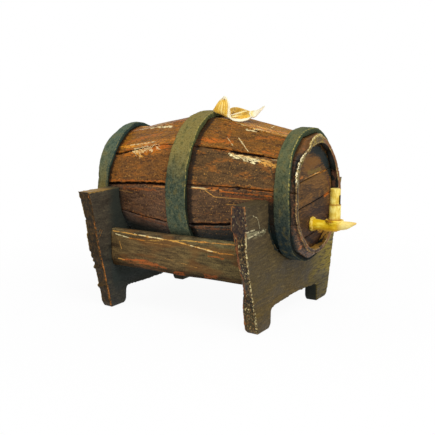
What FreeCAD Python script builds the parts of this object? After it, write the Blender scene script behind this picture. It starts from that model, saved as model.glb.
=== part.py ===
import FreeCAD, Part
import math
import os
import Sketcher

# An oak table cask for liquor, lying in a two-board stand. Millimetres, +Z up.
# The tap faces -Y. The origin is on the table, under the middle of the part's box.
# Lengths along the cask are measured from the middle of the stand, which stands
# fits.stand_y behind the origin.

DRIVING_SIZES = [
    # stand
    ("front_board_gap", 3.7, "front hoop to the outer face of the front board"),
    ("rear_board_gap", 3.0, "rear hoop to the outer face of the rear board"),
    ("board_thickness", 11.3, "end board"),
    ("horn_rise", 1.6, "the cask's axis to the tips of the horns"),
    ("board_top_half_width", 92.3, "middle to the outer edge, at the top"),
    ("board_foot_half_width", 65.3, "middle to the outer edge, at the table"),
    ("foot_inner_half_gap", 44.5, "middle to the inner edge of a foot"),
    ("front_arch_shoulder", 15.5, "height of the front arch at its ends"),
    ("front_arch_top", 17.8, "height of the front arch in its middle"),
    ("rear_arch_shoulder", 15.0, "height of the rear arch at its ends"),
    ("rear_arch_top", 13.6, "height of the rear arch in its middle"),
    ("arch_corner_radius", 4.0, "rounded corner between foot and arch"),
    ("cradle_clearance", 0.3, "air between the cask and its cradle"),
    ("rail_air", 0.8, "air between a rail and the centre hoop"),
    ("rail_thickness", 6.5, "rail, across the stand"),
    ("rail_drop", 31.2, "the cask's axis to the rail's upper edge"),
    ("rail_height", 31.2, "rail, from edge to edge"),
    ("rail_top_bevel_front", 10.0, "height of the upper bevel at the front"),
    ("rail_top_bevel_rear", 1.6, "height of the upper bevel at the rear"),
    ("rail_low_bevel_rear", 6.6, "height of the lower bevel at the rear"),
    ("rail_low_bevel_reach", 4.0, "where the lower bevel runs out, before the middle"),
    ("rail_bevel_depth", 2.6, "depth of the deepest bevel into the rail"),
    ("tenon_width", 4.0, "stub tenon, across the rail"),
    ("tenon_height", 20.0, "stub tenon, up the rail"),
    ("tenon_length", 6.0, "stub tenon, into the board"),
    ("joint_clearance", 0.05, "air on each side of a glued wooden joint"),
    # cask
    ("cask_axis_height", 99.2, "table to the cask's axis"),
    ("cask_front_length", 95.0, "middle of the stand to the front chime"),
    ("cask_rear_length", 89.0, "middle of the stand to the rear chime"),
    ("cask_roll", 6.5, "degrees that the bung leans towards -X"),
    ("stave_count", 12, "staves round the cask"),
    ("stave_thickness", 6.5, "stave, in and out"),
    ("belly_flat", 60.3, "axis to the flat of a stave in the middle"),
    ("end_flat", 48.5, "axis to the flat of a stave at the ends"),
    ("belly_half_length", 30.0, "middle to the end of the rounded belly"),
    ("taper_half_length", 73.6, "middle to where the straight ends begin"),
    ("seam_chamfer", 0.6, "eased long edge of a stave"),
    ("chime_taper_length", 5.0, "hewn taper outside the front chime"),
    ("chime_taper_depth", 3.6, "hewn taper outside the front chime"),
    ("chime_bevel", 0.5, "eased edge inside the chimes"),
    # heads
    ("head_recess", 7.5, "chime to the face of the head"),
    ("head_thickness", 5.0, "head board"),
    ("head_rim_thickness", 3.0, "thinned rim that sits in the croze"),
    ("head_bevel", 2.4, "bevel between the face and the rim, along the radius"),
    ("croze_depth", 1.2, "croze below the corners inside the staves"),
    ("head_clearance", 0.1, "air between the head and the croze"),
    ("upper_head_seam", 15.0, "height over the axis, in the head's own frame"),
    ("middle_head_seam", -5.5, "height over the axis, in the head's own frame"),
    ("lower_head_seam", -31.0, "height over the axis, in the head's own frame"),
    ("dowel_radius", 1.25, "dowel between two head boards"),
    ("dowel_length", 10.0, "dowel between two head boards"),
    ("dowel_offset", 16.0, "middle of the head to a dowel"),
    # hoops
    ("hoop_thickness", 3.0, "leather hoop"),
    ("hoop_clearance", 0.05, "air between a hoop and the staves"),
    ("hoop_bend", 12.0, "radius of a hoop's outer face at a seam"),
    ("front_hoop_width", 11.3, "along the cask"),
    ("front_hoop_setback", 5.0, "front chime to the hoop"),
    ("centre_hoop_width", 17.8, "along the cask"),
    ("centre_hoop_shift", 1.4, "middle of the hoop behind the middle of the stand"),
    ("rear_hoop_width", 10.5, "along the cask"),
    ("rear_hoop_setback", 0.5, "rear chime to the hoop"),
    ("lap_length", 20.0, "overlap of a hoop's ends"),
    ("rivet_radius", 1.0, "shank of a hoop rivet"),
    ("rivet_head_radius", 2.0, "head of a hoop rivet"),
    ("rivet_head_height", 0.9, "head of a hoop rivet"),
    ("rivet_spacing", 7.0, "between the two rivets of a hoop"),
    # tap
    ("tap_drop", 22.8, "the cask's axis to the tap's bore"),
    ("tap_neck_radius", 4.4, "tap where it enters the head"),
    ("tap_neck_reach", 3.0, "straight neck in front of the head"),
    ("tap_waist_reach", 9.0, "head's face to the tap's waist"),
    ("tap_waist_radius", 3.9, "waist between the neck and the belly"),
    ("tap_tail_length", 9.0, "tap behind the head's face"),
    ("tap_belly_radius", 4.5, "tap under its key"),
    ("tap_beak_radius", 3.1, "half-way along the beak"),
    ("tap_beak_reach", 30.0, "head's face to half-way along the beak"),
    ("tap_beak_rise", 1.6, "how far the beak has risen there"),
    ("tap_tip_radius", 0.7, "end of the beak"),
    ("tap_tip_reach", 37.6, "head's face to the end of the beak"),
    ("tap_tip_rise", 3.9, "how far the beak has risen at its end"),
    ("tap_bore_radius", 1.5, "way for the liquor"),
    ("tap_outlet_reach", 25.5, "head's face to the outlet under the beak"),
    ("seal_radius", 5.6, "ragged collar against the head"),
    ("seal_reach", 2.6, "ragged collar, along the tap"),
    ("key_reach", 19.5, "head's face to the key's axis"),
    ("cup_radius", 7.0, "lip round the foot of the key"),
    ("cup_floor", 4.4, "bore to the floor on which the key stands"),
    ("cup_lip", 0.8, "lip above that floor"),
    ("key_shank_radius", 2.5, "key inside the tap"),
    ("key_clearance", 0.05, "air between the key's shank and the tap"),
    ("key_radius", 4.6, "lower part of the key's grip"),
    ("key_grip_radius", 4.2, "upper part of the key's grip"),
    ("key_shoulder", 13.2, "cup floor to the step in the grip"),
    ("key_height", 25.5, "cup floor to the top of the key"),
    ("key_edge", 0.6, "rounded top edge of the key"),
    ("key_slot_width", 3.0, "slot through the grip"),
    ("key_slot_height", 7.0, "slot through the grip"),
    ("key_slot_middle", 16.9, "cup floor to the middle of the slot"),
    # bung
    ("bung_forward", 20.0, "middle of the stand to the bung"),
    ("bung_top", 60.9, "axis to the top of the bung"),
    ("bung_bottom", 50.5, "axis to the bottom of the bung"),
    ("bung_top_radius", 5.0, "tapered plug"),
    ("bung_bottom_radius", 4.4, "tapered plug"),
    ("bung_clearance", 0.05, "air between the bung and its hole"),
    ("cloth_width", 12.0, "bung cloth, across the cask"),
    ("cloth_thickness", 1.2, "bung cloth"),
    ("cloth_gutter_radius", 7.6, "outside of the curled gutter"),
    ("cloth_wall_height", 9.8, "bung's top to the top of the gutter's rear wall"),
    ("cloth_flap_height", 15.4, "bung's top to the tip of the tall flap"),
    ("cloth_flap_lean", 6.0, "tip of the tall flap behind the gutter"),
    ("cloth_spike_height", 8.0, "bung's top to the tip of the pointed flap"),
    ("cloth_spike_reach", 23.2, "bung's axis to the tip of the pointed flap"),
]

DERIVED_SIZES = [
    # along the cask
    ("head_face", "sizes.cask_front_length - sizes.head_recess"),
    ("stand_y", "(head_face + sizes.tap_tip_reach - sizes.cask_rear_length) / 2"),
    ("front_face", "sizes.cask_front_length - sizes.front_hoop_setback"
                   " - sizes.front_hoop_width - sizes.front_board_gap"),
    ("rear_face", "sizes.cask_rear_length - sizes.rear_hoop_setback"
                  " - sizes.rear_hoop_width - sizes.rear_board_gap"),
    ("front_inner", "front_face - sizes.board_thickness"),
    ("rear_inner", "rear_face - sizes.board_thickness"),
    ("rail_length", "front_inner + rear_inner"),
    ("rail_middle_y", "(rear_inner - front_inner) / 2"),
    ("front_head_middle", "-head_face + sizes.head_thickness / 2"),
    ("rear_head_middle", "sizes.cask_rear_length - sizes.head_recess - sizes.head_thickness / 2"),
    ("front_hoop_middle", "-sizes.cask_front_length + sizes.front_hoop_setback"
                          " + sizes.front_hoop_width / 2"),
    ("rear_hoop_middle", "sizes.cask_rear_length - sizes.rear_hoop_setback"
                         " - sizes.rear_hoop_width / 2"),
    # round the cask
    ("half_angle", "180 / sizes.stave_count"),
    ("bulge_slope", "(sizes.belly_flat - sizes.end_flat)"
                    " / (sizes.taper_half_length - sizes.belly_half_length / 2)"),
    ("shoulder_flat", "sizes.belly_flat - sizes.belly_half_length * bulge_slope / 2"),
    ("taper_slope", "(shoulder_flat - sizes.end_flat)"
                    " / (sizes.taper_half_length - sizes.belly_half_length)"),
    ("cradle_flat", "sizes.end_flat"
                    " + max(0; sizes.taper_half_length - min(front_inner; rear_inner)) * taper_slope"),
    ("cradle_radius", "cradle_flat / cos(half_angle) + sizes.cradle_clearance"),
    ("chime_flat", "sizes.end_flat - sizes.chime_taper_depth"),
    ("end_inner_flat", "sizes.end_flat - sizes.stave_thickness"),
    ("croze_radius", "end_inner_flat / cos(half_angle) + sizes.croze_depth"),
    ("head_radius", "croze_radius - sizes.head_clearance"),
    ("head_rim_radius", "end_inner_flat - 2 * sizes.head_clearance"),
    ("end_hoop_flat", "sizes.end_flat + sizes.hoop_clearance"),
    ("centre_hoop_flat", "sizes.belly_flat + sizes.hoop_clearance"),
    ("widest_hoop_radius", "(centre_hoop_flat + sizes.hoop_thickness) / cos(half_angle)"),
    ("lap_lean", "90 - sizes.cask_roll"),
    # heights, and the rails beside the cask
    ("tap_height", "sizes.cask_axis_height - sizes.tap_drop"),
    ("board_height", "sizes.cask_axis_height + sizes.horn_rise"),
    ("rail_top", "sizes.cask_axis_height - sizes.rail_drop"),
    ("rail_bottom", "rail_top - sizes.rail_height"),
    ("rail_middle_height", "rail_top - sizes.rail_height / 2"),
    ("rail_inner", "sqrt(widest_hoop_radius ^ 2 - sizes.rail_drop ^ 2) + sizes.rail_air"),
    ("rail_outer", "rail_inner + sizes.rail_thickness"),
    ("rail_middle", "rail_inner + sizes.rail_thickness / 2"),
]

doc = FreeCAD.newDocument("liquor_cask")
sizes = doc.addObject("Spreadsheet::Sheet", "sizes")
fits = doc.addObject("Spreadsheet::Sheet", "fits")
finished_pieces = []


def fill_sheets():
    """Driving sizes are plain numbers; what follows from them is a formula."""
    for row, (alias, number, meaning) in enumerate(DRIVING_SIZES, start=1):
        sizes.set(f"A{row}", meaning)
        sizes.set(f"B{row}", str(number))
        sizes.setAlias(f"B{row}", alias)
    doc.recompute()
    for row, (alias, formula) in enumerate(DERIVED_SIZES, start=1):
        fits.set(f"A{row}", alias.replace("_", " "))
        fits.setAlias(f"B{row}", alias)
        fits.set(f"B{row}", "=" + formula)
    doc.recompute()


def value(expression):
    """The number that an expression on the sheets has now."""
    return float(sizes.evalExpression(expression))


def origin_feature(body, role):
    return [item for item in body.Origin.OriginFeatures if item.Role == role][0]


def new_body(name, position=("0", "0", "0"), lean="0"):
    """A body placed by expressions and leaned by `lean` degrees about +Y."""
    body = doc.addObject("PartDesign::Body", name)
    body.Label = name
    turn = FreeCAD.Rotation(FreeCAD.Vector(0, 1, 0), value(lean))
    body.Placement = FreeCAD.Placement(FreeCAD.Vector(0, 0, 0), turn)
    for axis, expression in zip("xyz", position):
        body.setExpression(f"Placement.Base.{axis}", expression)
    if lean != "0":
        for axis, direction in zip("xyz", "010"):
            body.setExpression(f"Placement.Rotation.Axis.{axis}", direction)
        body.setExpression("Placement.Rotation.Angle", lean)
    finished_pieces.append(body)
    return body


def new_sketch(body, name, plane, offset=("0", "0", "0")):
    """A sketch on one of the body's own planes, moved within it and off it."""
    sketch = body.newObject("Sketcher::SketchObject", f"{body.Name}_{name}")
    sketch.AttachmentSupport = (origin_feature(body, plane), [""])
    sketch.MapMode = "FlatFace"
    for axis, expression in zip("xyz", offset):
        if expression != "0":
            sketch.setExpression(f"AttachmentOffset.Base.{axis}", expression)
    return sketch


def pin_point(sketch, geometry, end, across, up):
    """Holds one point at the place that two expressions give."""
    for kind, expression in (("DistanceX", across), ("DistanceY", up)):
        rule = Sketcher.Constraint(kind, -1, 1, geometry, end, value(expression))
        index = sketch.addConstraint(rule)
        sketch.setExpression(f"Constraints[{index}]", expression)


def draw_outline(sketch, corners):
    """A closed outline. A corner is (across, up), and where the way to the next
    corner is an arc, (across, up, (across, up)) with a point that the arc passes."""
    count = len(corners)
    places = [FreeCAD.Vector(value(c[0]), value(c[1]), 0) for c in corners]
    ends = []
    for index, corner in enumerate(corners):
        start, finish = places[index], places[(index + 1) % count]
        if len(corner) == 2:
            geometry = sketch.addGeometry(Part.LineSegment(start, finish), False)
            ends.append((geometry, 1, 2))
            continue
        across, up = corner[2]
        middle = FreeCAD.Vector(value(across), value(up), 0)
        geometry = sketch.addGeometry(Part.Arc(start, middle, finish), False)
        forwards = sketch.getPoint(geometry, 1).distanceToPoint(start) < 1e-6
        ends.append((geometry, 1, 2) if forwards else (geometry, 2, 1))
    for index in range(count):
        geometry, _, last = ends[index]
        following, first, _ = ends[(index + 1) % count]
        sketch.addConstraint(Sketcher.Constraint("Coincident", geometry, last, following, first))
    for (geometry, first, _), corner in zip(ends, corners):
        pin_point(sketch, geometry, first, corner[0], corner[1])
        if len(corner) == 3:
            across, up = corner[2]
            point = Part.Point(FreeCAD.Vector(value(across), value(up), 0))
            marker = sketch.addGeometry(point, True)
            pin_point(sketch, marker, 1, across, up)
            sketch.addConstraint(Sketcher.Constraint("PointOnObject", marker, 1, geometry))
    return sketch


def draw_circle(sketch, across, up, radius):
    centre = FreeCAD.Vector(value(across), value(up), 0)
    shape = Part.Circle(centre, FreeCAD.Vector(0, 0, 1), value(radius))
    geometry = sketch.addGeometry(shape, False)
    pin_point(sketch, geometry, 3, across, up)
    index = sketch.addConstraint(Sketcher.Constraint("Radius", geometry, value(radius)))
    sketch.setExpression(f"Constraints[{index}]", radius)
    return sketch


def add_feature(body, kind, sketch, length=None, angle=None, axis=None, both_ways=False,
                backwards=False):
    """Adds a sketch-based feature and makes sure that it changes the solid."""
    doc.recompute()
    before = body.Shape.Volume if body.Tip else 0.0
    feature = body.newObject(f"PartDesign::{kind}", f"{sketch.Name}_{kind.lower()}")
    feature.Profile = sketch
    if length is not None:
        feature.setExpression("Length", length)
        feature.SideType = "Symmetric" if both_ways else "One side"
    if angle is not None:
        feature.ReferenceAxis = axis
        feature.setExpression("Angle", angle)
        feature.Midplane = both_ways
    feature.Reversed = backwards
    doc.recompute()
    if abs(body.Shape.Volume - before) < 1e-3:
        raise RuntimeError(f"{feature.Name} changes nothing")
    return feature


def add_loft(body, kind, sketches):
    """Joins or cuts the solid that runs straight from each sketch to the next."""
    loft = body.newObject(f"PartDesign::{kind}", f"{sketches[0].Name}_loft")
    loft.Profile = sketches[0]
    loft.Sections = sketches[1:]
    loft.Ruled = True
    doc.recompute()
    return loft


def dress_edges(body, kind, size_name, size, wanted):
    """Rounds or bevels the edges of the body's tip that `wanted` picks."""
    doc.recompute()
    base = body.Tip
    names = [f"Edge{number}" for number, edge in enumerate(base.Shape.Edges, start=1)
             if wanted(edge)]
    feature = body.newObject(f"PartDesign::{kind}", f"{body.Name}_{kind.lower()}")
    feature.Base = (base, names)
    feature.setExpression(size_name, size)
    doc.recompute()
    return feature


# ---- stand ----------------------------------------------------------------

def end_board(name, face, arch, inner_face_is_far):
    """A board that tapers to two feet, with the cask's cradle cut into its top."""
    body = new_body(name, ("0", f"fits.stand_y + {face}", "0"))
    outline = new_sketch(body, "outline", "XZ_Plane")
    foot, gap = "sizes.board_foot_half_width", "sizes.foot_inner_half_gap"
    cradle, axis = "fits.cradle_radius", "sizes.cask_axis_height"
    shoulder, top = f"sizes.{arch}_arch_shoulder", f"sizes.{arch}_arch_top"
    draw_outline(outline, [
        (f"-{foot}", "0"), (f"-{gap}", "0"),
        (f"-{gap}", shoulder, ("0", top)), (gap, shoulder),
        (gap, "0"), (foot, "0"),
        ("sizes.board_top_half_width", "fits.board_height"),
        (cradle, "fits.board_height"),
        (cradle, axis, ("0", f"{axis} - {cradle}")), (f"-{cradle}", axis),
        (f"-{cradle}", "fits.board_height"),
        ("-sizes.board_top_half_width", "fits.board_height"),
    ])
    add_feature(body, "Pad", outline, length="sizes.board_thickness")
    gap_now, shoulder_now = value(gap), value(shoulder)
    dress_edges(body, "Fillet", "Radius", "sizes.arch_corner_radius", lambda edge: (
        abs(abs(edge.CenterOfMass.x) - gap_now) < 1e-4
        and abs(edge.CenterOfMass.z - shoulder_now) < 1e-4))
    cut_mortises(body, inner_face_is_far)
    return body


def cut_mortises(body, inner_face_is_far):
    """Two blind holes that take the rails' stub tenons."""
    depth = "sizes.board_thickness" if inner_face_is_far else "0"
    mortises = new_sketch(body, "mortises", "XZ_Plane", ("0", "0", depth))
    half_height = "(sizes.tenon_height / 2 + sizes.joint_clearance)"
    middle = "fits.rail_middle"
    half_width = "(sizes.tenon_width / 2 + sizes.joint_clearance)"
    for side in ("", "-"):
        near, far = f"{side}({middle} - {half_width})", f"{side}({middle} + {half_width})"
        low, high = (f"fits.rail_middle_height {sign} {half_height}" for sign in "-+")
        draw_outline(mortises, [(near, low), (far, low), (far, high), (near, high)])
    add_feature(body, "Pocket", mortises, backwards=not inner_face_is_far,
                length="sizes.tenon_length + 2 * sizes.joint_clearance")


def rail(name, side):
    """A board on edge between the end boards, its outer arrises hewn to bevels."""
    body = new_body(name, ("0", "fits.stand_y + fits.rail_middle_y", "0"))
    outer, inner = f"{side}fits.rail_outer", f"{side}fits.rail_inner"
    section = new_sketch(body, "section", "XZ_Plane")
    draw_outline(section, [(inner, "fits.rail_bottom"), (outer, "fits.rail_bottom"),
                           (outer, "fits.rail_top"), (inner, "fits.rail_top")])
    add_feature(body, "Pad", section, length="fits.rail_length", both_ways=True)
    tenon = new_sketch(body, "tenon", "XZ_Plane")
    near, far = (f"{side}(fits.rail_middle {sign} sizes.tenon_width / 2)" for sign in "-+")
    low, high = (f"fits.rail_middle_height {sign} sizes.tenon_height / 2" for sign in "-+")
    draw_outline(tenon, [(near, low), (far, low), (far, high), (near, high)])
    add_feature(body, "Pad", tenon, both_ways=True,
                length="fits.rail_length + 2 * sizes.tenon_length")
    half = "fits.rail_length / 2"
    hew_bevel(body, side, "top_bevel", "fits.rail_top", "-", (
        (half, "sizes.rail_top_bevel_front", "sizes.rail_bevel_depth"),
        (f"-{half}", "sizes.rail_top_bevel_rear", "sizes.rail_bevel_depth / 3")))
    hew_bevel(body, side, "low_bevel", "fits.rail_bottom", "+", (
        ("sizes.rail_low_bevel_reach", "sizes.rail_low_bevel_rear / 20",
         "sizes.rail_bevel_depth / 20"),
        (f"-{half}", "sizes.rail_low_bevel_rear", "sizes.rail_bevel_depth")))
    return body


def hew_bevel(body, side, name, edge, inward, stations):
    """Cuts a bevel that widens along the rail, through a triangle at each station.
    A station is (distance towards the front, height of the bevel, depth of it)."""
    triangles = []
    for number, (forward, height, depth) in enumerate(stations):
        triangle = new_sketch(body, f"{name}_{number}", "XZ_Plane", ("0", "0", forward))
        outer = f"{side}fits.rail_outer"
        draw_outline(triangle, [(outer, edge), (f"{side}(fits.rail_outer - {depth})", edge),
                                (outer, f"{edge} {inward} {height}")])
        triangles.append(triangle)
    add_loft(body, "SubtractiveLoft", triangles)


# ---- cask -----------------------------------------------------------------

CASK_PLACE = ("0", "fits.stand_y", "sizes.cask_axis_height")


def stave(number):
    """A bulged stave, jointed on radial planes, with the croze for both heads.
    It is modelled upright over the cask's axis and then turned to its place."""
    lean = f"{number} * 360 / sizes.stave_count - sizes.cask_roll"
    body = new_body(f"stave_{number + 1:02d}", CASK_PLACE, lean)
    draw_stave_profile(body)
    joint_stave(body)
    ease_stave(body)
    cut_croze(body)
    return body


def draw_stave_profile(body):
    profile = new_sketch(body, "profile", "YZ_Plane")
    belly, taper = "sizes.belly_half_length", "sizes.taper_half_length"
    front, rear = "-sizes.cask_front_length", "sizes.cask_rear_length"
    wall = "sizes.stave_thickness"
    draw_outline(profile, [
        (front, "fits.chime_flat"), (f"{front} + sizes.chime_taper_length", "sizes.end_flat"),
        (f"-{taper}", "sizes.end_flat"),
        (f"-{belly}", "fits.shoulder_flat", ("0", "sizes.belly_flat")),
        (belly, "fits.shoulder_flat"), (taper, "sizes.end_flat"), (rear, "sizes.end_flat"),
        (rear, "fits.end_inner_flat"), (taper, "fits.end_inner_flat"),
        (belly, f"fits.shoulder_flat - {wall}", ("0", f"sizes.belly_flat - {wall}")),
        (f"-{belly}", f"fits.shoulder_flat - {wall}"), (f"-{taper}", "fits.end_inner_flat"),
        (front, "fits.end_inner_flat"),
    ])
    add_feature(body, "Pad", profile, both_ways=True,
                length="2.4 * sizes.belly_flat * tan(fits.half_angle)")


def joint_stave(body):
    """Cuts both sides to planes through the cask's axis."""
    sides = new_sketch(body, "sides", "XZ_Plane")
    low, high = "0.5 * sizes.end_flat", "1.2 * sizes.belly_flat"
    away = "1.5 * sizes.belly_flat * tan(fits.half_angle)"
    air = "sizes.joint_clearance / cos(fits.half_angle)"
    for side in ("", "-"):
        at_low = f"{side}({low} * tan(fits.half_angle) - {air})"
        at_high = f"{side}({high} * tan(fits.half_angle) - {air})"
        draw_outline(sides, [(at_low, low), (at_high, high),
                             (f"{side}({away})", high), (f"{side}({away})", low)])
    add_feature(body, "Pocket", sides, both_ways=True,
                length="3 * sizes.cask_front_length")


def ease_stave(body):
    """Bevels the two long outer edges, so that a groove shows at each seam."""
    lowest, edge_now = value("fits.chime_flat"), value("fits.half_angle")
    shortest = value("sizes.chime_taper_length") / 2

    def is_outer_long_edge(edge):
        middle = edge.CenterOfMass
        lean = math.degrees(math.atan2(abs(middle.x), middle.z))
        return (edge.BoundBox.YLength > shortest and middle.z > lowest
                and abs(lean - edge_now) < 1)

    dress_edges(body, "Chamfer", "Size", "sizes.seam_chamfer", is_outer_long_edge)


def cut_croze(body):
    """Turns the two croze grooves and the chimes' inner bevels about the axis."""
    croze = new_sketch(body, "croze", "YZ_Plane")
    floor = "fits.end_inner_flat - 3"
    half = "(sizes.head_rim_thickness / 2 + sizes.head_clearance)"
    for middle in ("fits.front_head_middle", "fits.rear_head_middle"):
        low, high = f"{middle} - {half}", f"{middle} + {half}"
        draw_outline(croze, [(low, floor), (high, floor),
                             (high, "fits.croze_radius"), (low, "fits.croze_radius")])
    bevel = "sizes.chime_bevel"
    for chime, back in (("-sizes.cask_front_length", "+"), ("sizes.cask_rear_length", "-")):
        rim = f"fits.end_inner_flat / cos(fits.half_angle) + {bevel}"
        draw_outline(croze, [(chime, floor), (f"{chime} {back} {bevel}", floor),
                             (f"{chime} {back} {bevel}", f"({rim}) - {bevel}"),
                             (chime, rim)])
    add_feature(body, "Groove", croze, angle="360", axis=(origin_feature(body, "Y_Axis"), [""]))


def cut_bung_hole(body):
    """Reams the tapered bung hole through the top stave."""
    hole = new_sketch(body, "bung_hole", "YZ_Plane", ("-sizes.bung_forward", "0", "0"))
    air = "sizes.bung_clearance"
    draw_outline(hole, [
        ("0", "sizes.bung_bottom"), (f"sizes.bung_bottom_radius + {air}", "sizes.bung_bottom"),
        (f"sizes.bung_top_radius + {air}", "sizes.bung_top"), ("0", "sizes.bung_top")])
    add_feature(body, "Groove", hole, angle="360", axis=(hole, ["V_Axis"]))


HEAD_STRIPS = [("top_board", None, "upper"), ("upper_board", "upper", "middle"),
               ("lower_board", "middle", "lower"), ("bottom_board", "lower", None)]


def head_board(head, strip, seam_above, seam_below):
    """One board of a round head: a turned disc with a thinned rim, cut to a strip."""
    place = ("0", f"fits.stand_y + fits.{head}_head_middle", "sizes.cask_axis_height")
    body = new_body(f"{head}_head_{strip}", place, "-sizes.cask_roll")
    section = new_sketch(body, "section", "YZ_Plane")
    full, rim = "sizes.head_thickness / 2", "sizes.head_rim_thickness / 2"
    face = "fits.head_rim_radius - sizes.head_bevel"
    draw_outline(section, [
        (f"-{full}", "0"), (f"-{full}", face), (f"-{rim}", "fits.head_rim_radius"),
        (f"-{rim}", "fits.head_radius"), (rim, "fits.head_radius"),
        (rim, "fits.head_rim_radius"), (full, face), (full, "0")])
    add_feature(body, "Revolution", section, angle="360",
                axis=(origin_feature(body, "Y_Axis"), [""]))
    strip_cut = new_sketch(body, "strip", "XZ_Plane")
    wide = "1.1 * fits.head_radius"
    for seam, outward in ((seam_above, ""), (seam_below, "-")):
        if seam:
            kept_edge = f"sizes.{seam}_head_seam {'-' if outward == '' else '+'} sizes.joint_clearance"
            draw_outline(strip_cut, [(f"-{wide}", kept_edge), (wide, kept_edge),
                                     (wide, f"{outward}{wide}"), (f"-{wide}", f"{outward}{wide}")])
    add_feature(body, "Pocket", strip_cut, length="2 * sizes.head_thickness", both_ways=True)
    for seam in (seam_above, seam_below):
        if seam:
            cut_dowel_holes(body, seam)
    return body


def cut_dowel_holes(body, seam):
    """Two blind holes across a seam, drilled half into each board."""
    holes = new_sketch(body, f"{seam}_dowels", "XY_Plane", ("0", "0", f"sizes.{seam}_head_seam"))
    for side in ("", "-"):
        draw_circle(holes, f"{side}sizes.dowel_offset", "0",
                    "sizes.dowel_radius + sizes.joint_clearance")
    add_feature(body, "Pocket", holes, both_ways=True,
                length="sizes.dowel_length + 4 * sizes.joint_clearance")


def cut_tap_hole(body):
    """The head leans with the cask, and the hole stays under the middle."""
    hole = new_sketch(body, "tap_hole", "XZ_Plane")
    draw_circle(hole, "-sizes.tap_drop * sin(sizes.cask_roll)",
                "-sizes.tap_drop * cos(sizes.cask_roll)",
                "sizes.tap_neck_radius + sizes.joint_clearance")
    add_feature(body, "Pocket", hole, length="2 * sizes.head_thickness", both_ways=True)


def head_dowels(head):
    """The six dowels that join the boards of one head."""
    pins = []
    for seam in ("upper", "middle", "lower"):
        for side in ("", "-"):
            pin = doc.addObject("Part::Cylinder", f"{head}_{seam}_dowel")
            pin.setExpression("Radius", "sizes.dowel_radius")
            pin.setExpression("Height", "sizes.dowel_length")
            pin.setExpression("Placement.Base.x", f"{side}sizes.dowel_offset")
            pin.setExpression("Placement.Base.z",
                              f"sizes.{seam}_head_seam - sizes.dowel_length / 2")
            pins.append(pin)
    middle = f"fits.stand_y + fits.{head}_head_middle"
    return piece_of_many(f"{head}_head_dowels", pins, middle, "-sizes.cask_roll")


def piece_of_many(name, members, forward, lean):
    """Several like solids kept together as one node."""
    group = doc.addObject("Part::Compound", name)
    group.Label = name
    group.Links = members
    turn = FreeCAD.Rotation(FreeCAD.Vector(0, 1, 0), value(lean))
    group.Placement = FreeCAD.Placement(FreeCAD.Vector(0, 0, 0), turn)
    group.setExpression("Placement.Base.y", forward)
    group.setExpression("Placement.Base.z", "sizes.cask_axis_height")
    finished_pieces.append(group)
    return group


# ---- hoops ----------------------------------------------------------------

HOOPS = [("front_hoop", "sizes.front_hoop_width", "fits.front_hoop_middle", "fits.end_hoop_flat"),
         ("centre_hoop", "sizes.centre_hoop_width", "sizes.centre_hoop_shift",
          "fits.centre_hoop_flat"),
         ("rear_hoop", "sizes.rear_hoop_width", "fits.rear_hoop_middle", "fits.end_hoop_flat")]


def stave_polygon(flat):
    """Corners over the seams of an outline that lies on the staves, one flat on top."""
    radius = f"({flat}) / cos(fits.half_angle)"
    turns = [f"({number} + 0.5) * 360 / sizes.stave_count"
             for number in range(round(value("sizes.stave_count")))]
    return [(f"{radius} * sin({turn})", f"{radius} * cos({turn})") for turn in turns]


def hoop(name, width, middle, inner):
    """A strap bent round the staves, its ends lapped and riveted on the +X side.
    It is modelled with the lap on top and then leaned over by about a quarter turn."""
    place = ("0", f"fits.stand_y + {middle}", "sizes.cask_axis_height")
    body = new_body(name, place, "fits.lap_lean")
    outer = f"{inner} + sizes.hoop_thickness"
    band = new_sketch(body, "band", "XZ_Plane")
    draw_outline(band, stave_polygon(outer))
    add_feature(body, "Pad", band, length=width, both_ways=True)
    width_now = value(width)
    dress_edges(body, "Fillet", "Radius", "sizes.hoop_bend", lambda edge: (
        abs(edge.BoundBox.YLength - width_now) < 1e-4))
    opening = new_sketch(body, "opening", "XZ_Plane")
    draw_outline(opening, stave_polygon(inner))
    add_feature(body, "Pocket", opening, length=f"2 * {width}", both_ways=True)
    lap = new_sketch(body, "lap", "XZ_Plane")
    low, high = f"{inner} + sizes.hoop_thickness / 2", f"{outer} + sizes.hoop_thickness"
    end = "sizes.lap_length / 2"
    draw_outline(lap, [(f"-{end}", low), (end, low), (end, high), (f"-{end}", high)])
    add_feature(body, "Pad", lap, length=width, both_ways=True)
    holes = new_sketch(body, "rivet_holes", "XY_Plane")
    for side in ("", "-"):
        draw_circle(holes, "0", f"{side}sizes.rivet_spacing / 2",
                    "sizes.rivet_radius + sizes.joint_clearance")
    add_feature(body, "Pocket", holes, length="2 * sizes.belly_flat", backwards=True)
    return body


def hoop_rivets():
    """Two rivets through the lap of each hoop, their heads outside."""
    rivets = []
    for name, _, middle, inner in HOOPS:
        for side in ("", "-"):
            shank = doc.addObject("Part::Cylinder", f"{name}_shank")
            shank.setExpression("Radius", "sizes.rivet_radius")
            shank.setExpression("Height", "2 * sizes.hoop_thickness")
            head = doc.addObject("Part::Cone", f"{name}_rivet_head")
            head.setExpression("Radius1", "sizes.rivet_head_radius")
            head.setExpression("Radius2", "sizes.rivet_head_radius / 2")
            head.setExpression("Height", "sizes.rivet_head_height")
            rivet = doc.addObject("Part::Fuse", f"{name}_rivet")
            rivet.Base, rivet.Tool = shank, head
            for item, start in ((shank, inner), (head, f"{inner} + 2 * sizes.hoop_thickness")):
                item.setExpression("Placement.Base.y", f"{middle} {side or '+'} sizes.rivet_spacing / 2")
                item.setExpression("Placement.Base.z", start)
            rivets.append(rivet)
    return piece_of_many("hoop_rivets", rivets, "fits.stand_y", "fits.lap_lean")


# ---- tap ------------------------------------------------------------------

TAP_PLACE = ("0", "fits.stand_y - fits.head_face", "fits.tap_height")


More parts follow.
